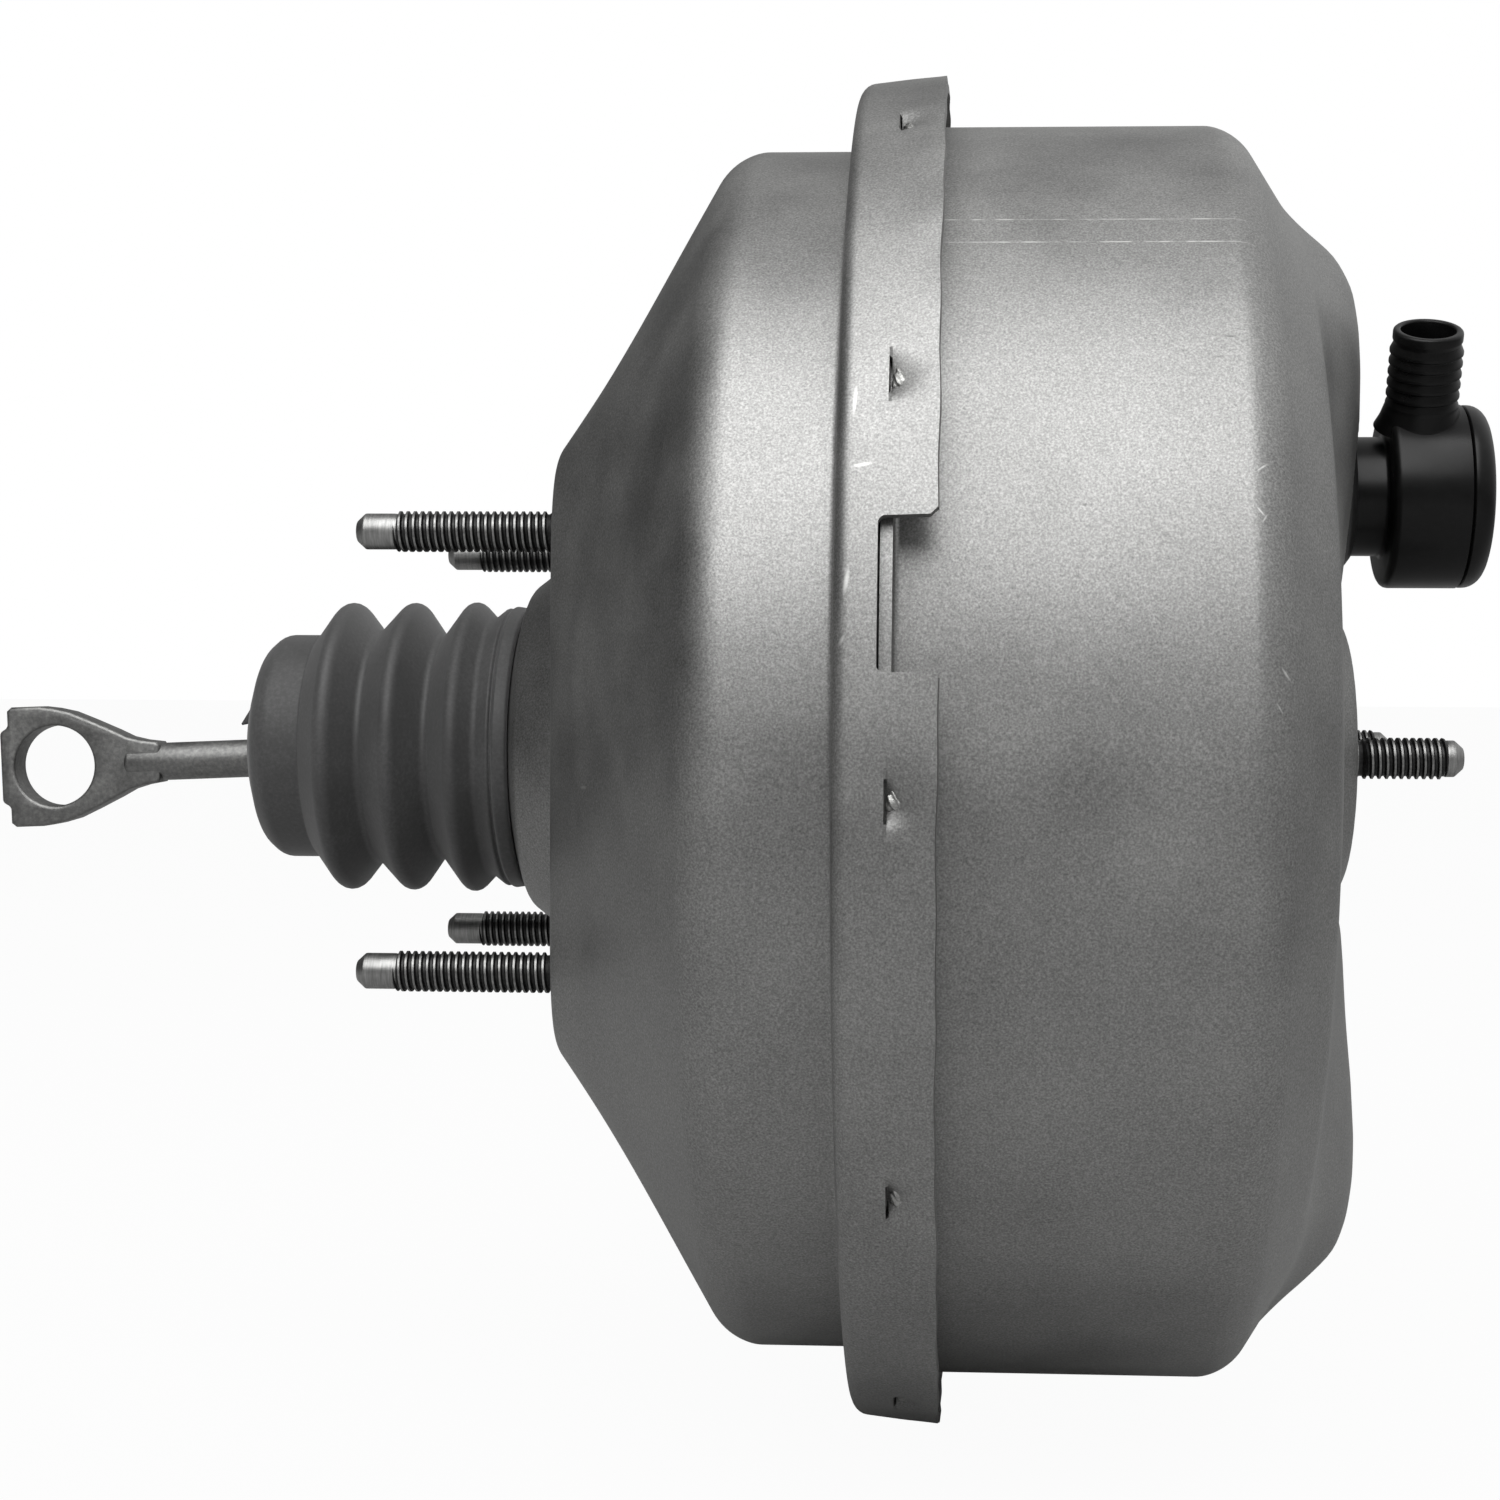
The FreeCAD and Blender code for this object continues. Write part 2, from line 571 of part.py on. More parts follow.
# Seals that stand still in the housing
keep(ring("hub_seal", "-neck_length", "-bearing_start", "hub_radius + clearance",
          "neck_radius - wall"), "rear_hub_seal")
keep(turned("hub_bearing", ("-bearing_start", "hub_radius + running_fit"),
            ("-bearing_end", "hub_radius + running_fit"),
            ("-bearing_end", "hub_radius + bearing_wall"),
            ("-2 * bearing_end", "hub_radius + bearing_wall"),
            ("-bearing_start", "neck_radius - wall - clearance")), "hub_bearing")
keep(ring("rod_seal", "cup_end + wall", "cup_end + wall + rod_seal_length",
          "rod_radius + running_fit", "socket_radius"), "output_rod_seal")

# Divider between the two chambers, its sliding seal and the clamped beads of the diaphragms
keep(pressed("divider", "divider_thickness", ("divider_place", "divider_bore"),
             ("divider_place", "support_flat", "6"),
             ("divider_place + support_cone + 1.5", "support_cone_edge + 2.25", "6"),
             ("divider_place + support_cone + 1.5", "divider_wall", "3"),
             ("divider_clamp", "divider_wall", "1.5"), ("divider_clamp", "bead_outer")),
     "divider_plate")
seal_back = "divider_place - divider_lip"
seal_front = "divider_place + divider_thickness + divider_lip"
keep(turned("divider_ring", (seal_back, "hub_radius + running_fit"),
            (seal_front, "hub_radius + running_fit"), (seal_front, "divider_bore + divider_grip"),
            ("divider_place + divider_thickness", "divider_bore + divider_grip"),
            ("divider_place + divider_thickness", "divider_bore"), ("divider_place", "divider_bore"),
            ("divider_place", "divider_bore + divider_grip"),
            (seal_back, "divider_bore + divider_grip")), "divider_seal")

# Support plates that push on the valve body, and the rubber diaphragms behind them
def support(name, place):
    """A dished plate that seats on the valve body."""
    return pressed(name, "support_thickness", (place, "hub_radius + running_fit"),
                   (place, "support_flat", "6"), (f"{place} + support_cone", "support_cone_edge", "3"),
                   (f"{place} + support_cone", "support_radius"))


def diaphragm(name, place, bead_from, bead_to, *outside):
    """Rubber that lies behind a support plate, then runs out to its bead in the clamp."""
    back = f"{place} - rubber - 0.05"
    sheet_part = pressed(name, "rubber", (back, "hub_radius + running_fit"),
                         (back, "support_flat + 1.5", "6"),
                         (f"{back} + support_cone", "support_cone_edge + 1.5", "3"), *outside)
    clamped = ring(name + "_bead", bead_from, bead_to, "bead_outer - 5.5", "bead_outer")
    return fused(name + "_whole", sheet_part, clamped)


keep(support("rear_support", "rear_plate_place"), "rear_support_plate")
keep(support("front_support", "front_plate_place"), "front_support_plate")
keep(diaphragm("rear_diaphragm_rubber", "rear_plate_place", "bead_start", "divider_clamp",
               ("rear_plate_place - rubber - 0.05 + support_cone", "support_radius + 2", "3"),
               ("bead_start - 8", "divider_wall - 0.2", "4"),
               ("bead_start", "divider_wall - 0.2", "1"), ("bead_start", "bead_outer")),
     "rear_diaphragm")
front_bead = "divider_clamp + divider_thickness"
keep(diaphragm("front_diaphragm_rubber", "front_plate_place", front_bead, "flange_start",
               ("front_plate_place - rubber - 0.05 + support_cone", "divider_wall + 4", "2"),
               (front_bead, "divider_wall + 4", "2"), (front_bead, "bead_outer")), "front_diaphragm")

# Valve body: the plastic hub that carries both plates and holds the control valve
hub = turned(
    "hub", ("-hub_length", "chamber_bore"), ("-hub_length", "hub_radius"),
    ("nose_start", "hub_radius"), ("nose_start", "flange_radius"),
    ("nose_start + 2.5", "flange_radius"), ("nose_start + 2.5", "nose_radius"),
    ("nose_end", "nose_radius"), ("nose_end", "disc_radius + 0.1"), ("disc_back", "disc_radius + 0.1"),
    ("disc_back", "plunger_radius + running_fit"), ("key_front - 7", "plunger_radius + running_fit"),
    ("key_front - 7", "cup_radius + 1.2"), ("seat_place", "cup_radius + 1.2"),
    ("seat_place", "chamber_bore"))
key_room = doc.addObject("Part::Box", "key_room")
bind(key_room, Length="key_thickness + 0.2", Width="12.2", Height="hub_radius + 1",
     x="key_front - key_thickness - 0.1", y="-6.1", z="0")
keep(cut("hub_cut", hub, key_room), "valve_body")
key = doc.addObject("Part::Box", "key_plate")
bind(key, Length="key_thickness", Width="12", Height="hub_radius - 1.8 - 5",
     x="key_front - key_thickness", y="-6", z="5")
keep(key, "stop_key")
keep(rod("disc", "disc_back", "disc_front", "disc_radius"), "reaction_disc")
pin_radius = "rod_radius - pin_step"
keep(turned("push_out", ("disc_front", 0), ("disc_front", "disc_radius"), ("nose_end", "disc_radius"),
            ("nose_end", "rod_radius + 4"), ("nose_end + 3", "rod_radius"),
            ("rod_tip - pin_length - pin_step", "rod_radius"), ("rod_tip - pin_length", pin_radius),
            ("rod_tip - pin_point", pin_radius),
            ("rod_tip", "rod_radius - pin_step - pin_point_fall"), ("rod_tip", 0)), "output_rod")
retainer_inside = "nose_radius + running_fit"
retainer_back = "nose_end + running_fit"
keep(turned("retainer", (retainer_back, "2 * rod_radius"),
            ("nose_end + retainer_wall", "2 * rod_radius"),
            ("nose_end + retainer_wall", "nose_radius + retainer_wall"),
            ("nose_end - retainer_skirt", "nose_radius + retainer_wall"),
            ("nose_end - retainer_skirt", retainer_inside), (retainer_back, retainer_inside)),
     "output_rod_retainer")

# Control valve inside the hub
key_groove = "key_front - lost_motion - 1 - key_thickness"
keep(turned("plunger", ("ball_place - 6", "ball_radius + running_fit"), ("ball_place - 6", "cup_radius"),
            ("ball_floor + 3", "cup_radius"), ("ball_floor + 3", "plunger_radius"),
            (key_groove, "plunger_radius"), (key_groove, "key_waist"),
            ("key_front + 1.5", "key_waist"), ("key_front + 1.5", "plunger_radius"),
            ("disc_back - lost_motion - 0.5", "plunger_radius"), ("disc_back - lost_motion - 0.5", 0),
            ("ball_floor + 0.1", 0), ("ball_floor + 0.1", "ball_radius + running_fit")),
     "air_valve_plunger")
poppet_inside = "chamber_bore - poppet_room - rubber"
keep(turned("poppet", ("poppet_back", poppet_inside), ("poppet_step", poppet_inside),
            ("poppet_step", "cup_radius + 2"), ("seat_place - 0.05", "cup_radius + 2"),
            ("seat_place - 0.05", "chamber_bore - poppet_room"),
            ("poppet_back + poppet_flange", "chamber_bore - poppet_room"),
            ("poppet_back + poppet_flange", "chamber_bore"), ("poppet_back", "chamber_bore")),
     "control_poppet")
keep(ring("poppet_ring", "poppet_back - retainer_length", "poppet_back", "retainer_hole",
          "chamber_bore"), "poppet_retainer")
keep(spring("poppet_coil", "poppet_back", "poppet_step", f"{poppet_inside} - poppet_wire",
            "poppet_wire", "4"), "poppet_spring")
keep(spring("rod_coil", "collar_place + 0.6", "poppet_back - retainer_length",
            "retainer_hole + rod_wire + 0.1", "rod_wire", "4"), "pushrod_return_spring")
keep(ring("foam", "-hub_length + filter_inset", "-hub_length + filter_inset + filter_length",
          "boot_hole", "chamber_bore"), "air_filter")
felt_start = "-hub_length + filter_inset + filter_length + 0.2"
keep(ring("felt", felt_start, f"{felt_start} + silencer_length", "boot_hole", "chamber_bore"),
     "air_silencer")
keep(spring("piston_coil", "nose_start", "plate_back", "spring_radius", "spring_wire", "spring_turns"),
     "piston_return_spring")

# Pedal pushrod: ball, shank with a spring collar, and a flat eye; it hangs by its droop
shank = "pushrod_diameter / 2"
eye_back = "-eye_place + eye_rear"
shank_end = f"{eye_back} + 8"
shaft = turned("pushrod_shaft", ("ball_radius - 0.4", 0), ("ball_radius - 0.4", 1.96), ("0", "ball_radius"),
               ("-3", "ball_radius - 1"), ("collar_place - ball_place", shank),
               ("collar_place - ball_place", "10.4"), ("collar_place - ball_place - 1.4", "10.4"),
               ("collar_place - ball_place - 1.4", shank), (shank_end, shank), (shank_end, 0))
eye = doc.addObject("PartDesign::Body", "pushrod_eye")
eye_outline = draw_corners(body_sketch(eye, "eye_outline", "XZ_Plane"), [
    (f"{shank_end} + 2", f"-{shank}"), (f"{shank_end} + 2", shank),
    (f"{eye_back} + 1", "eye_height / 2 - 4", "2"),
    (eye_back, "eye_height / 2 - 3", "1.5"), (eye_back, "eye_height / 2", "1.5"),
    ("-eye_place - eye_ear", "eye_height / 2", "3"), ("-eye_place - eye_ear", "nose_height / 2"),
    ("-eye_place - eye_nose", "nose_height / 2 - 1"), ("-eye_place - eye_nose", "-nose_height / 2 + 1"),
    ("-eye_place - eye_ear", "-nose_height / 2"), ("-eye_place - eye_ear", "-eye_height / 2", "3"),
    (eye_back, "-eye_height / 2", "1.5"), (eye_back, "-eye_height / 2 + 3", "1.5"),
    (f"{eye_back} + 1", "-eye_height / 2 + 4", "2")], True)
eye_pad = eye.newObject("PartDesign::Pad", "eye_pad")
eye_pad.Profile = eye_outline
eye_pad.Midplane = True
bind(eye_pad, Length="eye_thickness")
pin_hole = doc.addObject("Part::Cylinder", "pin_hole")
pin_hole.Placement = Placement(Vector(0, 0, 0), Rotation(AXIS_X, 90))
bind(pin_hole, Radius="eye_bore / 2", Height="eye_thickness + 2", x="-eye_place", y="eye_thickness / 2 + 1")
pushrod = cut("pushrod", fused("pushrod_blank", shaft, eye), pin_hole)
pushrod.Placement = Placement(Vector(0, 0, 0), Rotation(Vector(0, 1, 0), 0))
pushrod.setExpression(".Placement.Rotation.Angle", bound("-droop"))
bind(pushrod, x="ball_place")
keep(pushrod, "pedal_pushrod")

# Dust boot from the neck to the end of the valve body
fold = "boot_pitch / 2"
first = "-neck_length - 0.6"
lip_end = "-neck_length + neck_straight - 1.2"
boot_line = [(lip_end, "boot_lip"), ("-neck_length + 6", "boot_lip", "1"),
             ("-neck_length + 4", "neck_radius + boot_wall + 0.05", "1.5"), (first, "boot_crest", "3"),
             (f"{first} - {fold}", "boot_valley - 1", "2.5"), (f"{first} - 2 * {fold}", "boot_crest", "3"),
             (f"{first} - 3 * {fold}", "boot_valley", "2.5"), (f"{first} - 4 * {fold}", "boot_crest", "3"),
             (f"{first} - 4 * {fold} - 5.5", "boot_cup", "2"), ("-boot_length + 5", "boot_cup", "3"),
             ("-boot_length", "boot_cup - 8", "3"), ("-boot_length", "boot_hole")]
boot_grip = ring("boot_grip", "-neck_length + 5.5", lip_end, "neck_radius + 0.05", "boot_lip - 0.2")
keep(fused("boot_whole", pressed("boot", "-boot_wall", *boot_line), boot_grip), "dust_boot")

# Check valve in its grommet on the upper lobe
valve_at = {"y": "valve_y", "z": "valve_z"}
grommet = turned("grommet", ("shell_inside - 3", "valve_stem + running_fit"),
                 ("seat_level + grommet_flange", "valve_stem + running_fit"),
                 ("seat_level + grommet_flange", "grommet_radius", "1"), ("seat_level", "grommet_radius"),
                 ("seat_level", "grommet_waist"), ("shell_inside", "grommet_waist"),
                 ("shell_inside", "grommet_waist + 1.6"), ("shell_inside - 3", "grommet_waist - 0.6"))
keep(bind(grommet, **valve_at), "check_valve_grommet")
neck_start = "seat_level + grommet_flange + 0.1"
stem_start = "shell_inside - 5"
shell_of_valve = turned(
    "valve_shell", (stem_start, "valve_stem - 2.5"), (stem_start, "valve_stem"),
    (neck_start, "valve_stem"), (neck_start, "valve_neck"), ("valve_body_start", "valve_neck"),
    ("valve_body_start", "valve_body_radius", "1.5"), ("valve_seam", "valve_body_radius"),
    ("valve_seam", "valve_inside"), ("poppet_seat", "valve_inside"),
    ("poppet_seat", "valve_stem - 2.5"))


def nipple_tube(name, start, end, radius):
    """A cylinder along the nipple, from the valve's own axis outwards."""
    item = doc.addObject("Part::Cylinder", name)
    item.Placement = Placement(Vector(0, 0, 0), Rotation(AXIS_X, 27))
    item.setExpression(".Placement.Rotation.Angle", bound("nipple_lean"))
    return bind(item, Radius=radius, Height=f"({end}) - ({start})", x="nipple_place",
                y=f"-({start}) * sin(nipple_lean)", z=f"({start}) * cos(nipple_lean)")


barbs = [nipple_tube(f"nipple_barb_{i}", f"nipple_reach - 1.8 - {i} * barb_pitch",
                     f"nipple_reach - 1 - {i} * barb_pitch", "nipple_radius") for i in range(5)]
nipple = nipple_tube("nipple_outer", "valve_inside + 0.5", "nipple_reach", "nipple_radius - 0.5")
collar = nipple_tube("nipple_collar", "valve_inside + 0.5", "nipple_reach - 12.5", "nipple_radius")
bore = nipple_tube("nipple_inner", "valve_inside - 2", "nipple_reach + 1", "nipple_bore")
valve = cut("valve_open", fused("valve_blank", shell_of_valve, nipple, collar, *barbs), bore)
keep(bind(valve, **valve_at), "check_valve_body")
cap = turned("valve_lid", ("valve_seam - 3", "valve_inside - 1.6"),
             ("valve_seam - 3", "valve_inside - 0.05"), ("valve_seam", "valve_inside - 0.05"),
             ("valve_seam", "valve_body_radius"),
             ("valve_end", "valve_body_radius", "2.2"), ("valve_end", 0),
             ("valve_end - valve_wall", 0), ("valve_end - valve_wall", "valve_inside - 1.6"))
keep(bind(cap, **valve_at), "check_valve_cap")
disc = turned("valve_disc", ("poppet_seat + 0.05", 0), ("poppet_seat + 0.05", "valve_stem - 0.5"),
              ("poppet_seat + 2", "valve_stem - 0.5"), ("poppet_seat + 2", "2.2"),
              ("poppet_seat + 6", "2.2"), ("poppet_seat + 6", 0))
keep(bind(disc, **valve_at), "check_valve_poppet")
coil = spring("valve_coil", "poppet_seat + 2", "valve_end - valve_wall", "3.2", "0.8", "5")
keep(bind(coil, **valve_at), "check_valve_spring")

doc.recompute()
for item in doc.Objects:
    if "Invalid" in item.State or "Error" in item.State:
        raise RuntimeError(f"{item.Label} failed: {item.State}")
for node in NODES:
    shape = node.Shape
    if shape.isNull() or not shape.isValid() or shape.Volume <= 0:
        raise RuntimeError(f"{node.Label} has no valid solid")
for node in NODES:
    node.Shape.exportStep(f"parts/{node.Label}.step")
    print(f"{node.Label}: {len(node.Shape.Solids)} solids, {node.Shape.Volume:.0f} mm3")
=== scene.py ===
"""Looks of a vacuum brake booster: steel shells, studs, dust boot, pushrod and check valve.

Sizes in the classes are millimetres in the part's own frame: +X runs along the booster to the
master cylinder pad, +Z is up, and the camera stands on the -Y side.
"""
import logging
import math
from dataclasses import dataclass, field
from enum import Enum
from itertools import pairwise
from typing import Callable, Sequence

import bmesh
import bpy
import numpy as np
from mathutils import Matrix, Quaternion, Vector


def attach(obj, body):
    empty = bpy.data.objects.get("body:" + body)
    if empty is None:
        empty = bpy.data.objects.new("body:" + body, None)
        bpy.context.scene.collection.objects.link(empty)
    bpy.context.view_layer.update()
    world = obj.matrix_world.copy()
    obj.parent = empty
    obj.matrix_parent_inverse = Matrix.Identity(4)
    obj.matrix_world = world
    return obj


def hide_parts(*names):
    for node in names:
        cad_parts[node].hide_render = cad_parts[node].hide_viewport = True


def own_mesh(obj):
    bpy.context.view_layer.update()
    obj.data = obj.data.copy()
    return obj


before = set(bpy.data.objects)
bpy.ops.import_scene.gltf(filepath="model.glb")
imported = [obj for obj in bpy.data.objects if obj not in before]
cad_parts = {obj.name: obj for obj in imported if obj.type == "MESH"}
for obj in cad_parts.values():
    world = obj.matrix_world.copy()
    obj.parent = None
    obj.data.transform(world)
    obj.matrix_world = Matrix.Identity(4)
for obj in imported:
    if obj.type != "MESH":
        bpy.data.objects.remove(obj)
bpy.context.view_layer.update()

LOG = logging.getLogger("booster")
MM = 0.001
TURN = 2 * math.pi

Corner = tuple[float, ...]
Colour = tuple[float, float, float, float]
Mesh = bpy.types.Object
Socket = bpy.types.NodeSocket
Test = Callable[[Vector], bool]
Tree = bpy.types.NodeTree
WHITE = (1.0, 1.0, 1.0, 1.0)


class Body(Enum):
    """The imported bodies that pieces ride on."""

    HOUSING = "housing"
    PUSHROD = "pushrod"
    VALVE = "check_valve"


# Materials


def linear(text: str) -> Colour:
    """Turns an sRGB hex colour to linear light.

    Args:
        text: Six hex digits after a number sign.

    Returns:
        Linear red, green and blue, and full alpha.
    """
    levels = [int(text[i:i + 2], 16) / 255 for i in (1, 3, 5)]
    light = [v / 12.92 if v <= 0.04045 else ((v + 0.055) / 1.055) ** 2.4 for v in levels]
    return (*light, 1.0)


def feed(tree: Tree, socket: Socket, value: object) -> None:
    """Links an input to the output that feeds it, or gives it a fixed value.

    Args:
        tree: The input's tree.
        socket: The input.
        value: An output socket or a fixed value.
    """
    if isinstance(value, Socket):
        tree.links.new(value, socket)
    else:
        socket.default_value = value


def add_node(tree: Tree, kind: str, feeds: dict | None = None,
             **settings: object) -> bpy.types.Node:
    """Adds a node with its settings and feeds.

    Args:
        tree: The node tree that gets the node.
        kind: The node's type without the word ShaderNode.
        feeds: Input names or numbers, each with a fixed value or the output that feeds it.
        **settings: The node's own properties.

    Returns:
        The new node.
    """
    node = tree.nodes.new("ShaderNode" + kind)
    for key, value in settings.items():
        setattr(node, key, value)
    for key, value in (feeds or {}).items():
        feed(tree, node.inputs[key], value)
    return node


def compute(tree: Tree, operation: str, *feeds: object) -> Socket:
    """The result of a Math node on sockets and numbers."""
    return add_node(tree, "Math", dict(enumerate(feeds)), operation=operation).outputs[0]


def remap(tree: Tree, value: Socket, source: tuple[float, float],
          target: tuple[float, float] = (0.0, 1.0), **settings: object) -> Socket:
    """A value taken from one range to another and held there.

    Args:
        tree: The node tree.
        value: The value.
        source: The range that it comes from.
        target: The range that it goes to.
        **settings: The node's own properties.

    Returns:
        The new value's socket.
    """
    return add_node(tree, "MapRange", {"Value": value, "From Min": source[0],
                                       "From Max": source[1], "To Min": target[0],
                                       "To Max": target[1]}, **settings).outputs[0]


def noise(tree: Tree, place: Socket, size: float, detail: float, **feeds: float) -> Socket:
    """The value of a noise pattern of a size in mm."""
    return add_node(tree, "TexNoise", {"Vector": place, "Scale": 1 / (size * MM),
                                       "Detail": detail, **feeds}).outputs["Fac"]


def tint(tree: Tree, share: Socket, base: Socket, colour: str) -> Socket:
    """The base colour with a share of an sRGB hex colour over it."""
    return add_node(tree, "Mix", {0: share, 6: base, 7: linear(colour)},
                    data_type="RGBA").outputs[2]


def show_mix(tree: Tree, output: str, share: Socket, seen: Sequence[bpy.types.Node]) -> None:
    """Feeds an output node's surface with two shaders mixed by a share."""
    mixed = add_node(tree, "MixShader", {0: share, 1: seen[0].outputs[0], 2: seen[1].outputs[0]})
    tree.links.new(mixed.outputs[0], tree.nodes[output].inputs["Surface"])


def set_stops(node: bpy.types.Node, stops: Sequence[tuple[float, str]]) -> None:
    """Fills a colour ramp.

    Args:
        node: A colour ramp node, with its two first stops.
        stops: Places from 0 to 1, each with its sRGB hex colour.
    """
    ramp = node.color_ramp
    while len(ramp.elements) < len(stops):
        ramp.elements.new(0.5)
    for element, (place, colour) in zip(ramp.elements, stops):
        element.position = place
        element.color = linear(colour)


@dataclass(frozen=True)
class Finish:
    """One surface finish: grain and wandering tone in the colour, the roughness and the relief.

    Attributes:
        name: What the real surface is and how it was made.
        tones: sRGB colours from the darkest to the lightest part of the pattern.
        metallic: 1 for bare or plated metal.
        roughness: Middle roughness.
        grain: Size of the fine grain in mm.
        relief: Height of that grain in mm.
        patch: Size of the wandering patches in mm.
        patch_share: How much of the tone the patches carry.
        rough_spread: How far the roughness wanders each way.
        stretch: Shares by which the grain is drawn out along X, Y and Z.
        ior: Index of refraction of a surface that isn't metal.
        sheen: Dusty sheen of old rubber or felt.
    """

    name: str
    tones: tuple[str, ...]
    metallic: float = 0.0
    roughness: float = 0.5
    grain: float = 1.0
    relief: float = 0.01
    patch: float = 12.0
    patch_share: float = 0.35
    rough_spread: float = 0.06
    stretch: tuple[float, float, float] = (1.0, 1.0, 1.0)
    ior: float = 1.5
    sheen: float = 0.0

    def colour(self, tree: Tree, coords: Socket, tone: Socket) -> Socket:
        """The colour output of the pattern.

        Args:
            tree: The material's tree.
            coords: Object coordinates.
            tone: The pattern's value from 0 to 1.

        Returns:
            The socket that feeds the shader's colour.
        """
        ramp = add_node(tree, "ValToRGB", {"Fac": tone})
        last = len(self.tones) - 1
        set_stops(ramp, [(0.25 + 0.5 * i / last, level) for i, level in enumerate(self.tones)])
        return ramp.outputs["Color"]

    def material(self) -> bpy.types.Material:
        """Builds the material, or gives the one that is there already.

        Returns:
            The procedural material on object coordinates.
        """
        if self.name in bpy.data.materials:
            return bpy.data.materials[self.name]
        made = bpy.data.materials.new(self.name)
        made.use_nodes = True
        tree = made.node_tree
        place = add_node(tree, "TexCoord").outputs["Object"]
        drawn = add_node(tree, "Mapping", {"Scale": self.stretch, "Vector": place}).outputs[0]
        grain = noise(tree, drawn, self.grain, 2.0, Roughness=0.6)
        patch = noise(tree, place, self.patch, 3.0)
        fine = compute(tree, "MULTIPLY", grain, 1 - self.patch_share)
        tone = compute(tree, "MULTIPLY_ADD", patch, self.patch_share, fine)
        gloss = remap(tree, patch, (0.3, 0.7), (self.roughness - self.rough_spread,
                                                self.roughness + self.rough_spread))
        bump = add_node(tree, "Bump", {"Strength": 1.0, "Distance": self.relief * MM,
                                       "Height": grain})
        shader = tree.nodes["Principled BSDF"]
        feeds = {"Base Color": self.colour(tree, place, tone), "Roughness": gloss,
                 "Normal": bump.outputs[0], "Metallic": self.metallic, "IOR": self.ior,
                 "Sheen Weight": self.sheen}
        for key, value in feeds.items():
            feed(tree, shader.inputs[key], value)
        return made


@dataclass(frozen=True)
class MarkedSteel(Finish):
    """Blasted steel with what the shop left on it: draw marks along the drum and pale specks.

    Attributes:
        marks: Angles of the draw marks in degrees above the near side.
        mark_width: Width of a mark in mm at the drum.
        drum: Radius in mm at which that width holds.
        mark_end: Place in mm along the axis where the marks run out.
        mark_fade: How far in mm before that place they start to fade.
        mark_dash: Size in mm of the breaks in a mark.
        mark_tone: Colour of the marks and of the specks.
        speck: Spacing of the specks in mm.
        speck_cut: Levels of the specks' pattern where a speck starts and is full.
        nick_share: How much of a nick's colour covers the grain.
        nicks: Single scratches and smudges: place along the axis in mm, degrees above the near
            side, half length, half width, tilt in degrees, and colour.
    """

    marks: tuple[float, ...] = ()
    mark_width: float = 0.22
    drum: float = 127.2
    mark_end: float = 129.0
    mark_fade: float = 8.0
    mark_dash: float = 3.0
    mark_tone: str = "#C4C4C2"
    speck: float = 7.0
    speck_cut: tuple[float, float] = (0.74, 0.78)
    nick_share: float = 0.6
    nicks: tuple[tuple[float, float, float, float, float, str], ...] = ()

    def colour(self, tree: Tree, coords: Socket, tone: Socket) -> Socket:
        """The grain's colour under marks and specks; see the parent class for Args and Returns."""
        base = super().colour(tree, coords, tone)
        mask = remap(tree, noise(tree, coords, self.speck, 6.0, Roughness=0.7), self.speck_cut)
        axes = add_node(tree, "SeparateXYZ", {0: coords}).outputs
        angle = compute(tree, "ARCTAN2", axes[2], compute(tree, "MULTIPLY", axes[1], -1.0))
        patchy = remap(tree, noise(tree, coords, self.mark_dash, 4.0), (0.36, 0.6))
        reach = remap(tree, axes[0], (self.mark_end * MM, (self.mark_end - self.mark_fade) * MM))
        broken = compute(tree, "MULTIPLY", patchy, reach)
        width = self.mark_width / self.drum
        for mark in self.marks:
            away = compute(tree, "SUBTRACT", angle, math.radians(mark))
            line = remap(tree, compute(tree, "ABSOLUTE", away), (width, 0.3 * width))
            mask = compute(tree, "MAXIMUM", mask, compute(tree, "MULTIPLY", line, broken))
        tone = tint(tree, mask, base, self.mark_tone)
        around = compute(tree, "MULTIPLY", angle, self.drum * MM)
        unrolled = add_node(tree, "CombineXYZ", {0: axes[0], 1: around}).outputs[0]
        for along, turn, long, wide, tilt, shade in self.nicks:
            centre = (along * MM, math.radians(turn) * self.drum * MM, 0)
            local = add_node(tree, "Mapping", {
                "Vector": unrolled, "Location": centre, "Rotation": (0, 0, math.radians(tilt)),
                "Scale": (long * MM, wide * MM, 1)}, vector_type="TEXTURE")
            away = add_node(tree, "VectorMath", {0: local.outputs[0]}, operation="LENGTH")
            spot = remap(tree, away.outputs["Value"], (1.0, 0.3), (0.0, self.nick_share))
            tone = tint(tree, spot, tone, shade)
        return tone


# Zinc-plated deep-drawn sheet, bead blasted: satin grey with a fine mottled grain
BLASTED_STEEL = MarkedSteel(
    "zinc plated steel, bead blasted", ("#626261", "#868685", "#A6A6A4"), metallic=1.0,
    roughness=0.52, grain=0.38, relief=0.02, patch=22.0, patch_share=0.25, marks=(48.6, 45.4),
    nicks=((126.6, 22.8, 1.4, 0.22, 40, "#D2D2D0"), (126.1, 19.2, 1.2, 0.2, -50, "#D8D8D6"),
           (126.7, 18.7, 1.0, 0.2, 60, "#CFCFCD"), (129.8, 7.1, 1.5, 0.25, -55, "#DADAD8"),
           (128.7, 4.6, 1.2, 0.2, -60, "#C8C8C6"), (122.4, 34.5, 1.3, 0.25, 0, "#3C3C3B"),
           (97.9, 19.7, 0.5, 0.4, 0, "#4A4A49")))
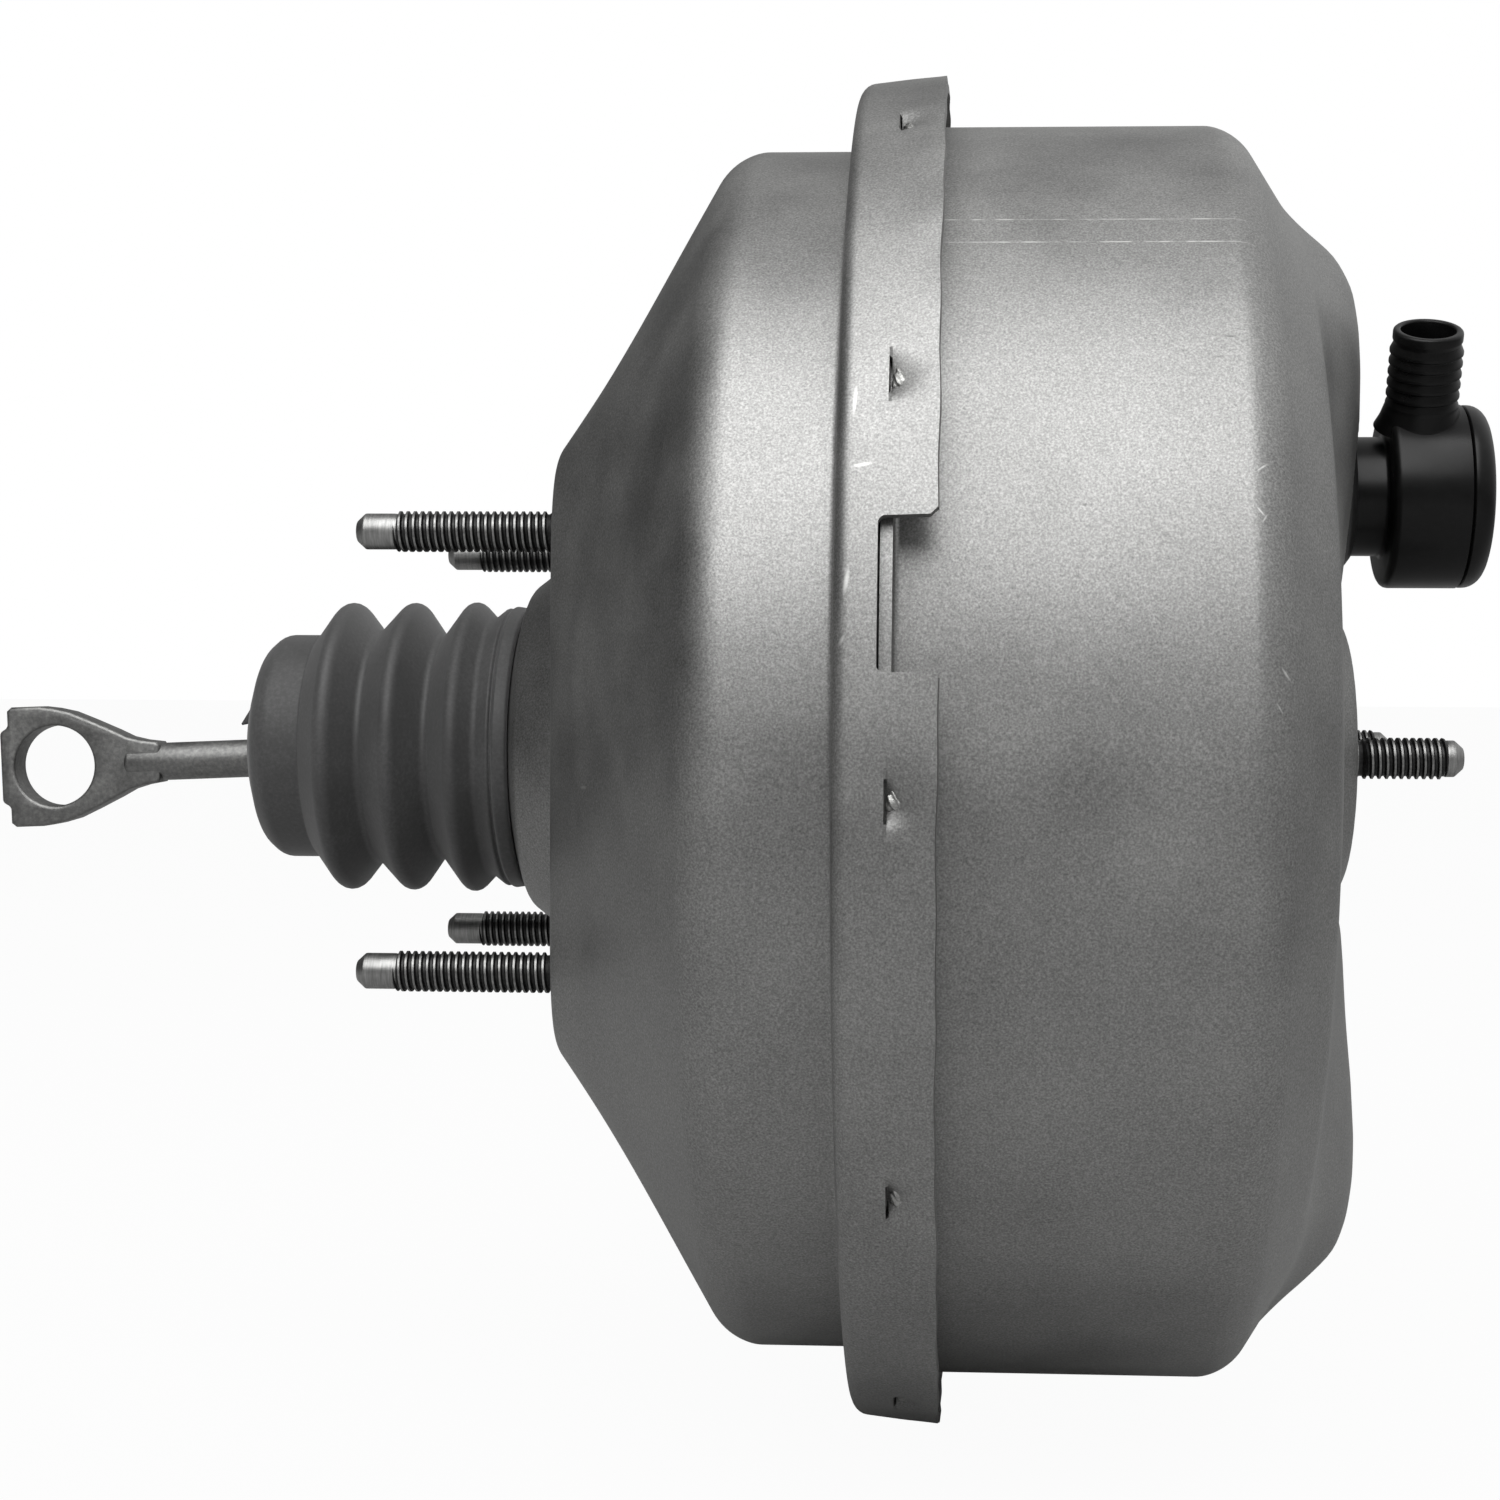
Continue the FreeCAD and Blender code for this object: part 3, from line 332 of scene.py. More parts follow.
# The same sheet behind the band, where no draw marks show
REAR_STEEL = MarkedSteel(
    "zinc plated steel, bead blasted, rear shell", ("#636362", "#878786", "#A7A7A5"),
    metallic=1.0, roughness=0.52, grain=0.38, relief=0.02, patch=26.0, patch_share=0.25,
    nicks=((60.8, 26.0, 3.2, 0.4, 86, "#C4C4C2"), (62.2, 21.0, 2.2, 0.4, 8, "#C8C8C6"),
           (60.0, 12.7, 2.4, 0.5, 80, "#D0D0CE"), (59.4, 8.7, 1.2, 0.4, 60, "#CACAC8"),
           (4.9, 33.9, 0.9, 0.4, 0, "#9A9A98"), (2.6, 32.5, 0.7, 0.4, 30, "#9A9A98"),
           (10.0, -3.9, 1.1, 0.6, 30, "#B4B4B2")))
# Phosphated roots and flanks of rolled threads: dark grey
BLACK_THREAD = Finish("phosphated steel thread, rolled", ("#282828", "#383838", "#4A4A49"),
                      metallic=1.0, roughness=0.5, grain=0.6, relief=0.006, patch=5.0)
# Crests and the plain foot, lighter than the flanks: partly rubbed by nuts, partly a painted
# highlight along the crest lines
CREST_WEAR_AND_HIGHLIGHT = Finish("steel thread crest, worn, painted highlight", ("#5A5A59", "#7E7E7D", "#9C9C9A"),
                    metallic=1.0, roughness=0.42, grain=0.7, relief=0.004, patch=3.0)
# Turned ends and rods, with fine rings
TURNED_STEEL = Finish("steel, turned", ("#6C6C6B", "#8A8A89", "#A6A6A4"), metallic=1.0,
                      roughness=0.44, grain=0.35, relief=0.006, patch=4.0,
                      stretch=(1.0, 0.1, 0.1))
# Forged and coined rod, zinc plated: grey with a soft pitted skin
FORGED_STEEL = Finish("zinc plated steel, forged", ("#5E5E5D", "#737372", "#8B8B89"),
                      metallic=1.0, roughness=0.5, grain=0.8, relief=0.03, patch=7.0)
# Torn edges of the lances, where the punch broke through the plating
BARE_STEEL = Finish("steel, torn by a punch, bare", ("#6E6E6D", "#949492", "#BEBEBC"),
                    metallic=1.0, roughness=0.46, grain=0.5, relief=0.12, patch=2.0)
# Pressed inner plates, plain mill finish
MILL_STEEL = Finish("steel sheet, mill finish", ("#8A8A88", "#9C9C9A", "#AFAFAC"),
                    metallic=1.0, roughness=0.42, grain=1.5, relief=0.004, patch=18.0)
# Drawn spring wire, oiled
SPRING_WIRE = Finish("spring steel wire, drawn", ("#4C4C4B", "#626260", "#7B7B79"),
                     metallic=1.0, roughness=0.34, grain=0.5, relief=0.003, patch=5.0)
# Moulded boot rubber, dusty and dull
BOOT_RUBBER = Finish("EPDM rubber, moulded, dusty", ("#292929", "#353535", "#464646"),
                     roughness=0.6, grain=0.7, relief=0.012, patch=14.0, patch_share=0.45,
                     sheen=0.15)
# Clean moulded rubber of seals, diaphragms and the grommet
SEAL_RUBBER = Finish("nitrile rubber, moulded", ("#161616", "#1E1E1E", "#282828"),
                     roughness=0.5, grain=0.8, relief=0.008, patch=8.0)
# Injection-moulded nylon of the check valve: nearly black, with narrow highlights
GLOSS_NYLON = Finish("glass filled nylon, moulded black", ("#060606", "#090909", "#0E0E0E"),
                     roughness=0.32, grain=1.2, relief=0.006, patch=9.0, rough_spread=0.05,
                     ior=1.28)
# Compression-moulded phenolic resin of the valve body
PHENOLIC = Finish("phenolic resin, moulded brown", ("#2A211B", "#372B23", "#45372D"),
                  roughness=0.4, grain=0.6, relief=0.006, patch=10.0, ior=1.6)
# Nylon of the hub's bearing
PALE_NYLON = Finish("nylon, moulded natural", ("#C9C4B6", "#D5D0C3", "#DEDACF"),
                    roughness=0.42, grain=1.0, relief=0.004, patch=9.0, ior=1.53)
# Pressed wool felt
WOOL_FELT = Finish("wool felt, pressed", ("#5B584F", "#76736A", "#8D8A80"), roughness=0.95,
                   grain=0.5, relief=0.15, patch=4.0, sheen=0.5)

NODE_FINISHES: dict[str, Finish] = {
    "front_stiffening_plate": MILL_STEEL, "rear_hub_seal": SEAL_RUBBER,
    "hub_bearing": PALE_NYLON, "output_rod_seal": SEAL_RUBBER,
    "divider_plate": MILL_STEEL, "divider_seal": SEAL_RUBBER, "rear_diaphragm": SEAL_RUBBER,
    "front_diaphragm": SEAL_RUBBER, "piston_return_spring": SPRING_WIRE,
    "valve_body": PHENOLIC, "rear_support_plate": MILL_STEEL,
    "front_support_plate": MILL_STEEL, "stop_key": TURNED_STEEL, "reaction_disc": SEAL_RUBBER,
    "output_rod": TURNED_STEEL, "output_rod_retainer": MILL_STEEL,
    "control_poppet": SEAL_RUBBER, "poppet_retainer": MILL_STEEL, "poppet_spring": SPRING_WIRE,
    "pushrod_return_spring": SPRING_WIRE, "air_filter": WOOL_FELT, "air_silencer": WOOL_FELT,
    "air_valve_plunger": TURNED_STEEL, "check_valve_spring": SPRING_WIRE,
    "check_valve_poppet": SEAL_RUBBER,
}


# Ways of the bench


def start_edit(piece: Mesh) -> None:
    """Opens one piece in edit mode with nothing selected.

    Args:
        piece: The piece to open.
    """
    for other in list(bpy.context.selected_objects):
        other.select_set(False)
    piece.select_set(True)
    bpy.context.view_layer.objects.active = piece
    bpy.ops.object.mode_set(mode="EDIT")
    bpy.ops.mesh.select_all(action="DESELECT")


def end_edit() -> None:
    """Goes back to object mode."""
    bpy.ops.object.mode_set(mode="OBJECT")


def take_all() -> None:
    """Selects everything in the open mesh."""
    bpy.ops.mesh.select_all(action="SELECT")


def face_out() -> None:
    """Turns the faces of the open mesh outwards."""
    take_all()
    bpy.ops.mesh.normals_make_consistent(inside=False)


def weld(threshold: float) -> None:
    """Welds the open mesh within a distance in metres and turns its faces outwards."""
    take_all()
    bpy.ops.mesh.remove_doubles(threshold=threshold)
    face_out()


def shift(x: float, y: float, z: float) -> Matrix:
    """A move in millimetres."""
    return Matrix.Translation(Vector((x, y, z)) * MM)


def turned(degrees: float, axis: str) -> Matrix:
    """A turn about one of the frame's axes."""
    return Matrix.Rotation(math.radians(degrees), 4, axis)


def move(piece: Mesh, *steps: Matrix) -> Mesh:
    """Moves the piece's mesh by each step in turn."""
    for step in steps:
        piece.data.transform(step)
    return piece


def pick(piece: Mesh, kind: str, test: Test) -> None:
    """Selects the vertices, edges or faces whose middle passes a test.

    Args:
        piece: The piece in edit mode.
        kind: VERT, EDGE or FACE.
        test: Says yes or no for a point in metres.
    """
    bpy.ops.mesh.select_all(action="DESELECT")
    bpy.ops.mesh.select_mode(type=kind)
    sheet = bmesh.from_edit_mesh(piece.data)
    for item in {"VERT": sheet.verts, "EDGE": sheet.edges, "FACE": sheet.faces}[kind]:
        if kind == "VERT":
            middle = item.co
        elif kind == "EDGE":
            middle = (item.verts[0].co + item.verts[1].co) / 2
        else:
            middle = item.calc_center_median()
        if test(middle):
            item.select_set(True)
    sheet.select_flush_mode()
    bmesh.update_edit_mesh(piece.data)


def trace(name: str, places: Sequence[Vector]) -> Mesh:
    """Draws a chain of edges and leaves it open in edit mode.

    Args:
        name: The new piece's name.
        places: The chain's corners in metres.

    Returns:
        The piece, in edit mode.
    """
    bpy.ops.mesh.primitive_plane_add(size=MM, location=places[0])
    piece = bpy.context.active_object
    piece.name = piece.data.name = name
    bpy.ops.object.transform_apply(location=True, rotation=True, scale=True)
    start_edit(piece)
    take_all()
    bpy.ops.mesh.merge(type="CENTER")
    bpy.ops.mesh.select_mode(type="VERT")
    take_all()
    for before, after in pairwise(places):
        bpy.ops.mesh.extrude_region_move(TRANSFORM_OT_translate={"value": after - before})
    return piece


def draw_line(name: str, corners: Sequence[Corner], start: float = 0.0) -> Mesh:
    """Draws a half section as a chain of edges and rounds its bends.

    Args:
        name: The new piece's name.
        corners: Along, out and, where the corner is rounded, its bend radius, in mm.
        start: Angle in degrees above the near side of the plane that it is drawn in.

    Returns:
        The piece, a chain of edges.
    """
    turn = math.radians(start)
    places = [Vector((c[0], -c[1] * math.cos(turn), c[1] * math.sin(turn))) * MM
              for c in corners]
    piece = trace(name, places)
    for i, corner in enumerate(corners):
        if len(corner) > 2:
            towards = places[i - 1] - places[i]
            onwards = places[i + 1] - places[i]
            swing = math.pi - towards.angle(onwards)
            place = places[i]
            pick(piece, "VERT", lambda point, place=place: (point - place).length < 1e-6)
            bpy.ops.mesh.bevel(offset=corner[2] * MM * math.tan(swing / 2), affect="VERTICES",
                               segments=max(3, round(corner[2] * swing / 0.7)))
    end_edit()
    return piece


def spin_round(piece: Mesh, steps: int, outside: Test | None = None) -> Mesh:
    """Spins a half section about the X axis and turns its faces outwards.

    Args:
        piece: The drawn chain.
        steps: Steps in the full turn.
        outside: For an open sheet, says whether a face may be used to tell the outer side by
            its pointing away from the axis; a closed form needs none.

    Returns:
        The same piece.
    """
    start_edit(piece)
    take_all()
    bpy.ops.mesh.spin(steps=steps, angle=TURN, center=(0, 0, 0), axis=(1, 0, 0))
    weld(1e-7)
    end_edit()
    if outside is not None:
        probe = next(f for f in piece.data.polygons if outside(Vector(f.center)))
        away = Vector((0, probe.center[1], probe.center[2]))
        if probe.normal.dot(away) < 0:
            start_edit(piece)
            take_all()
            bpy.ops.mesh.flip_normals()
            end_edit()
    return piece


def apply_modifier(piece: Mesh, kind: str, **settings: object) -> Mesh:
    """Adds a modifier with its settings and applies it.

    Args:
        piece: The piece to change.
        kind: The modifier's type.
        **settings: Its properties.

    Returns:
        The same piece.
    """
    start_edit(piece)
    end_edit()
    modifier = piece.modifiers.new(kind.title(), kind)
    for key, value in settings.items():
        setattr(modifier, key, value)
    bpy.ops.object.modifier_apply(modifier=modifier.name)
    return piece


def thicken(piece: Mesh, wall: float) -> Mesh:
    """Gives a sheet its wall, inwards from its outer side."""
    return apply_modifier(piece, "SOLIDIFY", thickness=wall * MM, offset=-1.0,
                          use_even_offset=True)


def points_of(piece: Mesh) -> np.ndarray:
    """The piece's vertices in mm, one row each."""
    flat = np.empty(len(piece.data.vertices) * 3)
    piece.data.vertices.foreach_get("co", flat)
    return flat.reshape(-1, 3) / MM


def set_points(piece: Mesh, points: np.ndarray) -> None:
    """Puts the vertices back, from mm."""
    piece.data.vertices.foreach_set("co", (points * MM).ravel())
    piece.data.update()


def smooth(piece: Mesh, angle: float = 35.0) -> Mesh:
    """Shades the piece smooth up to an angle in degrees."""
    start_edit(piece)
    end_edit()
    bpy.ops.object.shade_smooth_by_angle(angle=math.radians(angle))
    return piece


def merge_pieces(name: str, pieces: Sequence[Mesh]) -> Mesh:
    """Joins several pieces into one.

    Args:
        name: The joined piece's name.
        pieces: The pieces; the first one stays.

    Returns:
        The joined piece.
    """
    for other in list(bpy.context.selected_objects):
        other.select_set(False)
    for piece in pieces:
        piece.select_set(True)
    bpy.context.view_layer.objects.active = pieces[0]
    bpy.ops.object.join()
    pieces[0].name = pieces[0].data.name = name
    return pieces[0]


def copied(piece: Mesh, name: str, place: Matrix) -> Mesh:
    """A copy with its own mesh, put in place in that mesh.

    Args:
        piece: The piece to copy.
        name: The copy's name.
        place: Where it goes.

    Returns:
        The copy.
    """
    twin = piece.copy()
    twin.data = piece.data.copy()
    twin.name = twin.data.name = name
    twin.data.transform(place)
    bpy.context.collection.objects.link(twin)
    return twin


def dress(piece: Mesh, *finishes: Finish) -> Mesh:
    """Gives the piece its materials in the order of its slots."""
    piece.data.materials.clear()
    for finish in finishes:
        piece.data.materials.append(finish.material())
    return piece


def settle(piece: Mesh, body: Body, slot: str, *nodes: str) -> Mesh:
    """Hands a finished piece to the frame.

    Args:
        piece: The piece, with its place in its mesh.
        body: The body that it rides on.
        slot: The record's material slot; not used.
        *nodes: The CAD nodes that it stands for.

    Returns:
        The same piece.
    """
    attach(piece, body.value)
    if nodes:
        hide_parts(*nodes)
    LOG.info("%s: %d faces on %s", piece.name, len(piece.data.polygons), body.value)
    return piece


def ease(share: np.ndarray) -> np.ndarray:
    """Smooth step of a share, held between 0 and 1."""
    held = np.clip(share, 0, 1)
    return held * held * (3 - 2 * held)


# Sub-assemblies


@dataclass
class RearShell:
    """The rear half of the housing with its neck, cone, cylinder and clinched band."""

    wall: float = 2.0
    drum_radius: float = 122.2
    band_foot: float = 57.7
    band_radius: float = 134.9
    band_edge: float = 74.4
    edge_radius: float = 136.8
    steps: int = 480
    first_lance: float = -2.0
    lances: int = 12
    slit: tuple[float, float] = (66.2, 66.7)
    slit_half: float = 1.65
    dent: float = 2.3
    dent_end: float = 73.4
    burr_half: tuple[float, float, float] = (1.5, 0.8, 1.9)
    burr_sunk: float = 1.75
    notch_floor: float = 64.9
    notch_width: float = 25.4
    notch_angle: float = 11.9
    notches: int = 3
    notch_bend: float = 1.2
    notch_corner: float = 1.7
    tool_length: float = 14.0
    tool_depth: float = 20.0
    burr_wave: float = 0.13
    edge_wave: tuple[float, float] = (0.1, 0.001)
    neck_end: float = 45.0
    plate_bore: float = 48.0
    plate_radius: float = 65.8
    face_radius: float = 69.2
    flat_half: tuple[float, float] = (55.0, 59.5)
    squareness: float = 7.0
    cone_end: float = 33.7
    cone_fade: float = 1.7

    def band_at(self, along: float) -> float:
        """Outer radius of the band at a place along the axis."""
        share = (along - self.band_foot) / (self.band_edge - self.band_foot)
        return self.band_radius + share * (self.edge_radius - self.band_radius)

    def corners(self) -> list[Corner]:
        """The outer side of the half section, from the neck to the free edge."""
        rows = (63.2, 65.0, *self.slit, 67.2, 67.8, 68.5, 69.3, 70.2, 71.2, 72.3, self.dent_end)
        return [(-24.0, 26.0), (-13.5, 26.0, 1.5), (-11.2, 33.5, 3.5), (0.0, 42.0, 5.0),
                *((0.0, r) for r in np.arange(self.neck_end + 2, 63.0, 2.0)),
                (0.0, self.face_radius, 6.0), *self.cone(),
                (self.cone_end, self.drum_radius, 10.0),
                (self.band_foot, self.drum_radius, 1.5), (self.band_foot, self.band_radius, 3.0),
                *((x, self.band_at(x)) for x in rows), (self.band_edge, self.edge_radius)]

    def cone(self) -> list[Corner]:
        """Corners along the cone, so that it can take the face's square form."""
        return [(self.cone_end * i / 16, self.face_radius
                 + (self.drum_radius - self.face_radius) * i / 16) for i in range(4, 13)]

    def square_up(self, piece: Mesh) -> None:
        """Presses the face and the cone behind it towards a square with round corners.

        Args:
            piece: A sheet or plate that is still round.
        """
        points = points_of(piece)
        x, y, z = points.T
        out = np.hypot(y, z)
        angle = np.arctan2(z, y)
        power = self.squareness
        near, high = self.flat_half
        rim = (np.abs(np.cos(angle) / near) ** power
               + np.abs(np.sin(angle) / high) ** power) ** (-1 / power)
        face = ease((out - self.neck_end) / (self.face_radius - self.neck_end))
        share = face * np.clip(1 - x / self.cone_end, 0, 1) ** self.cone_fade
        grown = out + (rim - self.face_radius) * share
        points[:, 1:] *= (grown / out)[:, None]
        set_points(piece, points)

    def press_lances(self, skin: Mesh) -> None:
        """Opens the slits and pushes the metal in beside them.

        Args:
            skin: The sheet before it has its wall.
        """
        def off_lance(point: np.ndarray) -> np.ndarray:
            """Degrees to the nearest lance."""
            angle = np.degrees(np.arctan2(point[..., 2], -point[..., 1]))
            pitch = 360 / self.lances
            return (angle - self.first_lance + pitch / 2) % pitch - pitch / 2

        low, high = self.slit
        start_edit(skin)
        pick(skin, "FACE", lambda p: low * MM < p.x < high * MM
             and abs(off_lance(np.array(p))) < self.slit_half)
        bpy.ops.mesh.delete(type="FACE")
        end_edit()
        points = points_of(skin)
        away = np.hypot(points[:, 1], points[:, 2])
        side = ease(1 - np.abs(off_lance(points)) / (self.slit_half + 0.7))
        run = (points[:, 0] - high) / (self.dent_end - high)
        depth = self.dent * side * (1 - np.clip(run, 0, 1)) ** 1.5
        depth[(points[:, 0] < high - 0.05) | (away < self.band_radius)] = 0
        points[:, 1:] *= (1 - depth / away)[:, None]
        set_points(skin, points)

    def wave_edge(self, skin: Mesh) -> None:
        """Leaves the free edge a little uneven, as the clinching rollers do.

        Args:
            skin: The sheet before it has its wall.
        """
        points = points_of(skin)
        turn = np.arctan2(points[:, 2], -points[:, 1])
        wave = np.sin(7 * turn + 1) + np.sin(17 * turn) + np.sin(41 * turn + 2)
        share = ease((points[:, 0] - self.slit[1]) / (self.band_edge - self.slit[1]))
        points[:, 0] += self.edge_wave[0] * wave * share
        points[:, 1:] *= (1 + self.edge_wave[1] * wave * share)[:, None]
        set_points(skin, points)

    def burr(self, angle: float) -> Mesh:
        """The ragged curl of metal that the lancing punch left in one dent.

        Args:
            angle: Degrees above the near side.

        Returns:
            The curl, in place.
        """
        bpy.ops.mesh.primitive_ico_sphere_add(subdivisions=4, radius=1)
        curl = bpy.context.active_object
        points = points_of(curl) * MM
        wave = (np.sin(2.9 * points[:, 0] + angle) + np.sin(3.7 * points[:, 2] + 1.7 * angle)
                + np.sin(8.3 * points[:, 0] + 6.1 * points[:, 2]))
        points *= (1 + self.burr_wave * wave)[:, None]
        points *= np.array(self.burr_half)
        points += np.array((self.slit[1] + self.burr_half[0],
                            -(self.band_at(self.slit[1]) - self.burr_sunk), 0))
        set_points(curl, points)
        return dress(move(curl, turned(-angle, "X")), BARE_STEEL)

    def block(self, length: float, width: float) -> Mesh:
        """A plain cutting block about the origin, along and around in mm."""
        bpy.ops.mesh.primitive_cube_add(size=1)
        return move(bpy.context.active_object,
                    Matrix.Diagonal((length * MM, self.tool_depth * MM, width * MM, 1)))

    def notch_tool(self, angle: float) -> Mesh:
        """A rounded block that cuts one clocking notch.

        Args:
            angle: Degrees above the near side.

        Returns:
            The block, in place.
        """
        tool = self.block(self.tool_length, self.notch_width)
        start_edit(tool)
        pick(tool, "EDGE", lambda p: p.x < 0 and abs(p.y) < 1e-6)
        bpy.ops.mesh.bevel(offset=self.notch_bend * MM, segments=5)
        end_edit()
        return move(tool, shift(self.notch_floor + self.tool_length / 2, -self.band_radius, 0),
                    turned(-angle, "X"))

    def stiffener(self) -> Mesh:
        """The plate behind the firewall face, cut to the face's square form."""
        back, front = self.wall, 2 * self.wall
        plate = spin_round(draw_line("rear_stiffener", [
            (back, self.plate_bore), *((back, r) for r in np.arange(50.0, 66.0, 2.0)),
            (back, self.plate_radius), (front, self.plate_radius),
            *((front, r) for r in np.arange(64.0, 49.0, -2.0)), (front, self.plate_bore),
            (back, self.plate_bore)]), self.steps // 4)
        self.square_up(plate)
        return settle(smooth(dress(plate, MILL_STEEL)), Body.HOUSING, "plated_steel",
                      "rear_stiffening_plate")

    def corner_tool(self, angle: float, side: int) -> Mesh:
        """A small block on its edge that takes the sharp corner off one side of a notch.

        Args:
            angle: Degrees above the near side.
            side: 1 for the upper corner, -1 for the lower one.

        Returns:
            The block, in place.
        """
        place = shift(self.band_edge, -self.band_radius, side * self.notch_width / 2)
        return move(self.block(self.notch_corner, self.notch_corner), turned(45, "Y"), place,
                    turned(-angle, "X"))

    def build(self) -> Mesh:
        """Makes, dresses and settles the shell and its stiffening plate."""
        self.stiffener()
        skin = draw_line("rear_shell_pressing", self.corners(), self.first_lance)
        spin_round(skin, self.steps, lambda p: 40 * MM < p.x < 50 * MM)
        self.square_up(skin)
        self.press_lances(skin)
        self.wave_edge(skin)
        thicken(skin, self.wall)
        turns = [self.notch_angle + 360 / self.notches * i for i in range(self.notches)]
        for cutters in ([self.notch_tool(turn) for turn in turns],
                        [self.corner_tool(turn, side) for turn in turns for side in (-1, 1)]):
            tools = merge_pieces("notch_tools", cutters)
            apply_modifier(skin, "BOOLEAN", object=tools, operation="DIFFERENCE", solver="EXACT")
            bpy.data.objects.remove(tools)
        smooth(dress(skin, REAR_STEEL), 32)
        curls = [self.burr(self.first_lance + 360 / self.lances * i) for i in range(self.lances)]
        settle(smooth(merge_pieces("lance_burrs", curls), 60), Body.HOUSING, "plated_steel")
        return settle(skin, Body.HOUSING, "plated_steel", "rear_shell")


@dataclass
class FrontShell:
    """The front half: flange, drum, rounded corner, domed face, pad and two lobes."""

    wall: float = 2.0
    flange: tuple[float, float] = (67.2, 133.0)
    radius: float = 126.8
    drum_end: float = 129.5
    drum_bend: float = 9.0
    shoulder: tuple[float, float] = (141.2, 109.0)
    crease: tuple[float, float] = (145.0, 84.5)
    steps: int = 480
    pad_level: float = 152.8
    pad_half: tuple[float, float] = (54.5, 27.3)
    pad_slope: float = 8.0
    lobe_rows: tuple[float, float] = (84.0, 108.0)
    lobe_half: tuple[float, float] = (72.0, 33.6)
    lobe_slope: tuple[float, float] = (52.0, 12.0)
    lobe_start: tuple[float, float] = (22.0, 12.0)
    socket_rim: float = 2.5
    lobe_line: tuple[tuple[float, float, float], ...] = (
        (22.0, 148.8, 150.5), (30.0, 151.0, 152.1), (40.0, 153.2, 153.5), (52.0, 155.1, 154.6),
        (64.0, 156.3, 155.9), (76.0, 156.5, 156.7), (84.0, 156.1, 156.6), (92.0, 155.0, 155.7),
        (99.0, 151.4, 153.5), (105.0, 143.0, 147.6), (110.0, 135.8, 142.1),
        (115.0, 129.6, 136.8), (119.0, 123.8, 131.6))
    seat: tuple[float, float] = (-15.0, 52.0)
    seat_level: float = 152.2
    seat_half: float = 16.5
    socket: float = 20.5
    cup_floor: float = 138.8
    cup_bore: float = 9.5

    def corners(self) -> list[Corner]:
        """The outer side of the half section, from the flange to the cup's floor."""
        rings = [(self.face_at(r), r) for r in np.arange(82.0, 25.0, -1.25)]
        edge = (self.drum_end, self.radius)
        slope = [(x, r) for x, r in self.run(edge, self.shoulder) if r < self.radius - 5.5]
        return [(self.flange[0], self.flange[1]), (self.flange[0], self.radius, 1.0),
                (98.0, self.radius), (*edge, self.drum_bend), *slope, self.shoulder,
                *self.run(self.shoulder, self.crease), self.crease, *rings,
                (self.pad_level, 24.0), (self.pad_level, self.socket, 1.5),
                (self.cup_floor, self.socket, 2.0), (self.cup_floor, self.cup_bore)]

    @staticmethod
    def run(start: tuple[float, float], end: tuple[float, float]) -> list[Corner]:
        """Corners about every 1.5 mm strictly between two points, so that the face can bend."""
        count = max(2, round(math.dist(start, end) / 1.5))
        return [tuple(np.array(start) + (np.array(end) - start) * i / count)
                for i in range(1, count)]

    def face_at(self, out: float) -> float:
        """Level of the plain dome at a radius."""
        places = (24.0, 42.0, 63.0, 82.0, self.crease[1])
        levels = (self.pad_level, 150.0, 147.2, 145.4, self.crease[0])
        return float(np.interp(out, places, levels))

    def raise_face(self, skin: Mesh) -> None:
        """Lifts the pad, the lobes and the valve's seat out of the plain dome.

        Args:
            skin: The sheet before it has its wall.
        """
        points = points_of(skin)
        x, y, z = points.T
        out = np.hypot(y, z)
        face = (out > self.socket + self.socket_rim) & (out < 125) & (x > self.drum_end - 8)
        half_y, half_z = self.pad_half
        past = np.hypot(np.maximum(np.abs(y) - (half_y - half_z), 0), z) - half_z
        pad = np.maximum(self.pad_level - x, 0) * ease(0.5 - past / self.pad_slope)
        places, upper, lower = zip(*self.lobe_line)
        top = np.where(z > 0, np.interp(z, places, upper), np.interp(-z, places, lower))
        width = np.interp(np.abs(z), self.lobe_rows, self.lobe_half)
        across = ease((width - np.abs(y)) / np.interp(np.abs(z), self.lobe_rows, self.lobe_slope))
        along = ease((np.abs(z) - self.lobe_start[0]) / self.lobe_start[1])
        lobe = np.maximum(top - x, 0) * across * along
        lift = np.maximum(pad, lobe)
        points[face, 0] += lift[face]
        set_points(skin, points)
        start_edit(skin)
        pick(skin, "VERT", lambda p: p.x > 134 * MM
             and 26 * MM < math.hypot(p.y, p.z) < 123 * MM)
        bpy.ops.mesh.vertices_smooth(factor=0.5, repeat=6)
        end_edit()
        points = points_of(skin)
        x, y, z = points.T
        away = np.hypot(y - self.seat[0], z - self.seat[1])
        share = ease((self.seat_half + 3 - away) / 4.0)
        share[np.hypot(y, z) < self.socket + self.socket_rim] = 0
        points[:, 0] += (self.seat_level - x) * share
        set_points(skin, points)

    def build(self) -> Mesh:
        """Makes, dresses and settles the shell."""
        skin = spin_round(draw_line("front_shell_pressing", self.corners()), self.steps,
                          lambda p: 90 * MM < p.x < 120 * MM)
        self.raise_face(skin)
        thicken(skin, self.wall)
        smooth(dress(skin, BLASTED_STEEL), 40)
        return settle(skin, Body.HOUSING, "plated_steel", "front_shell")


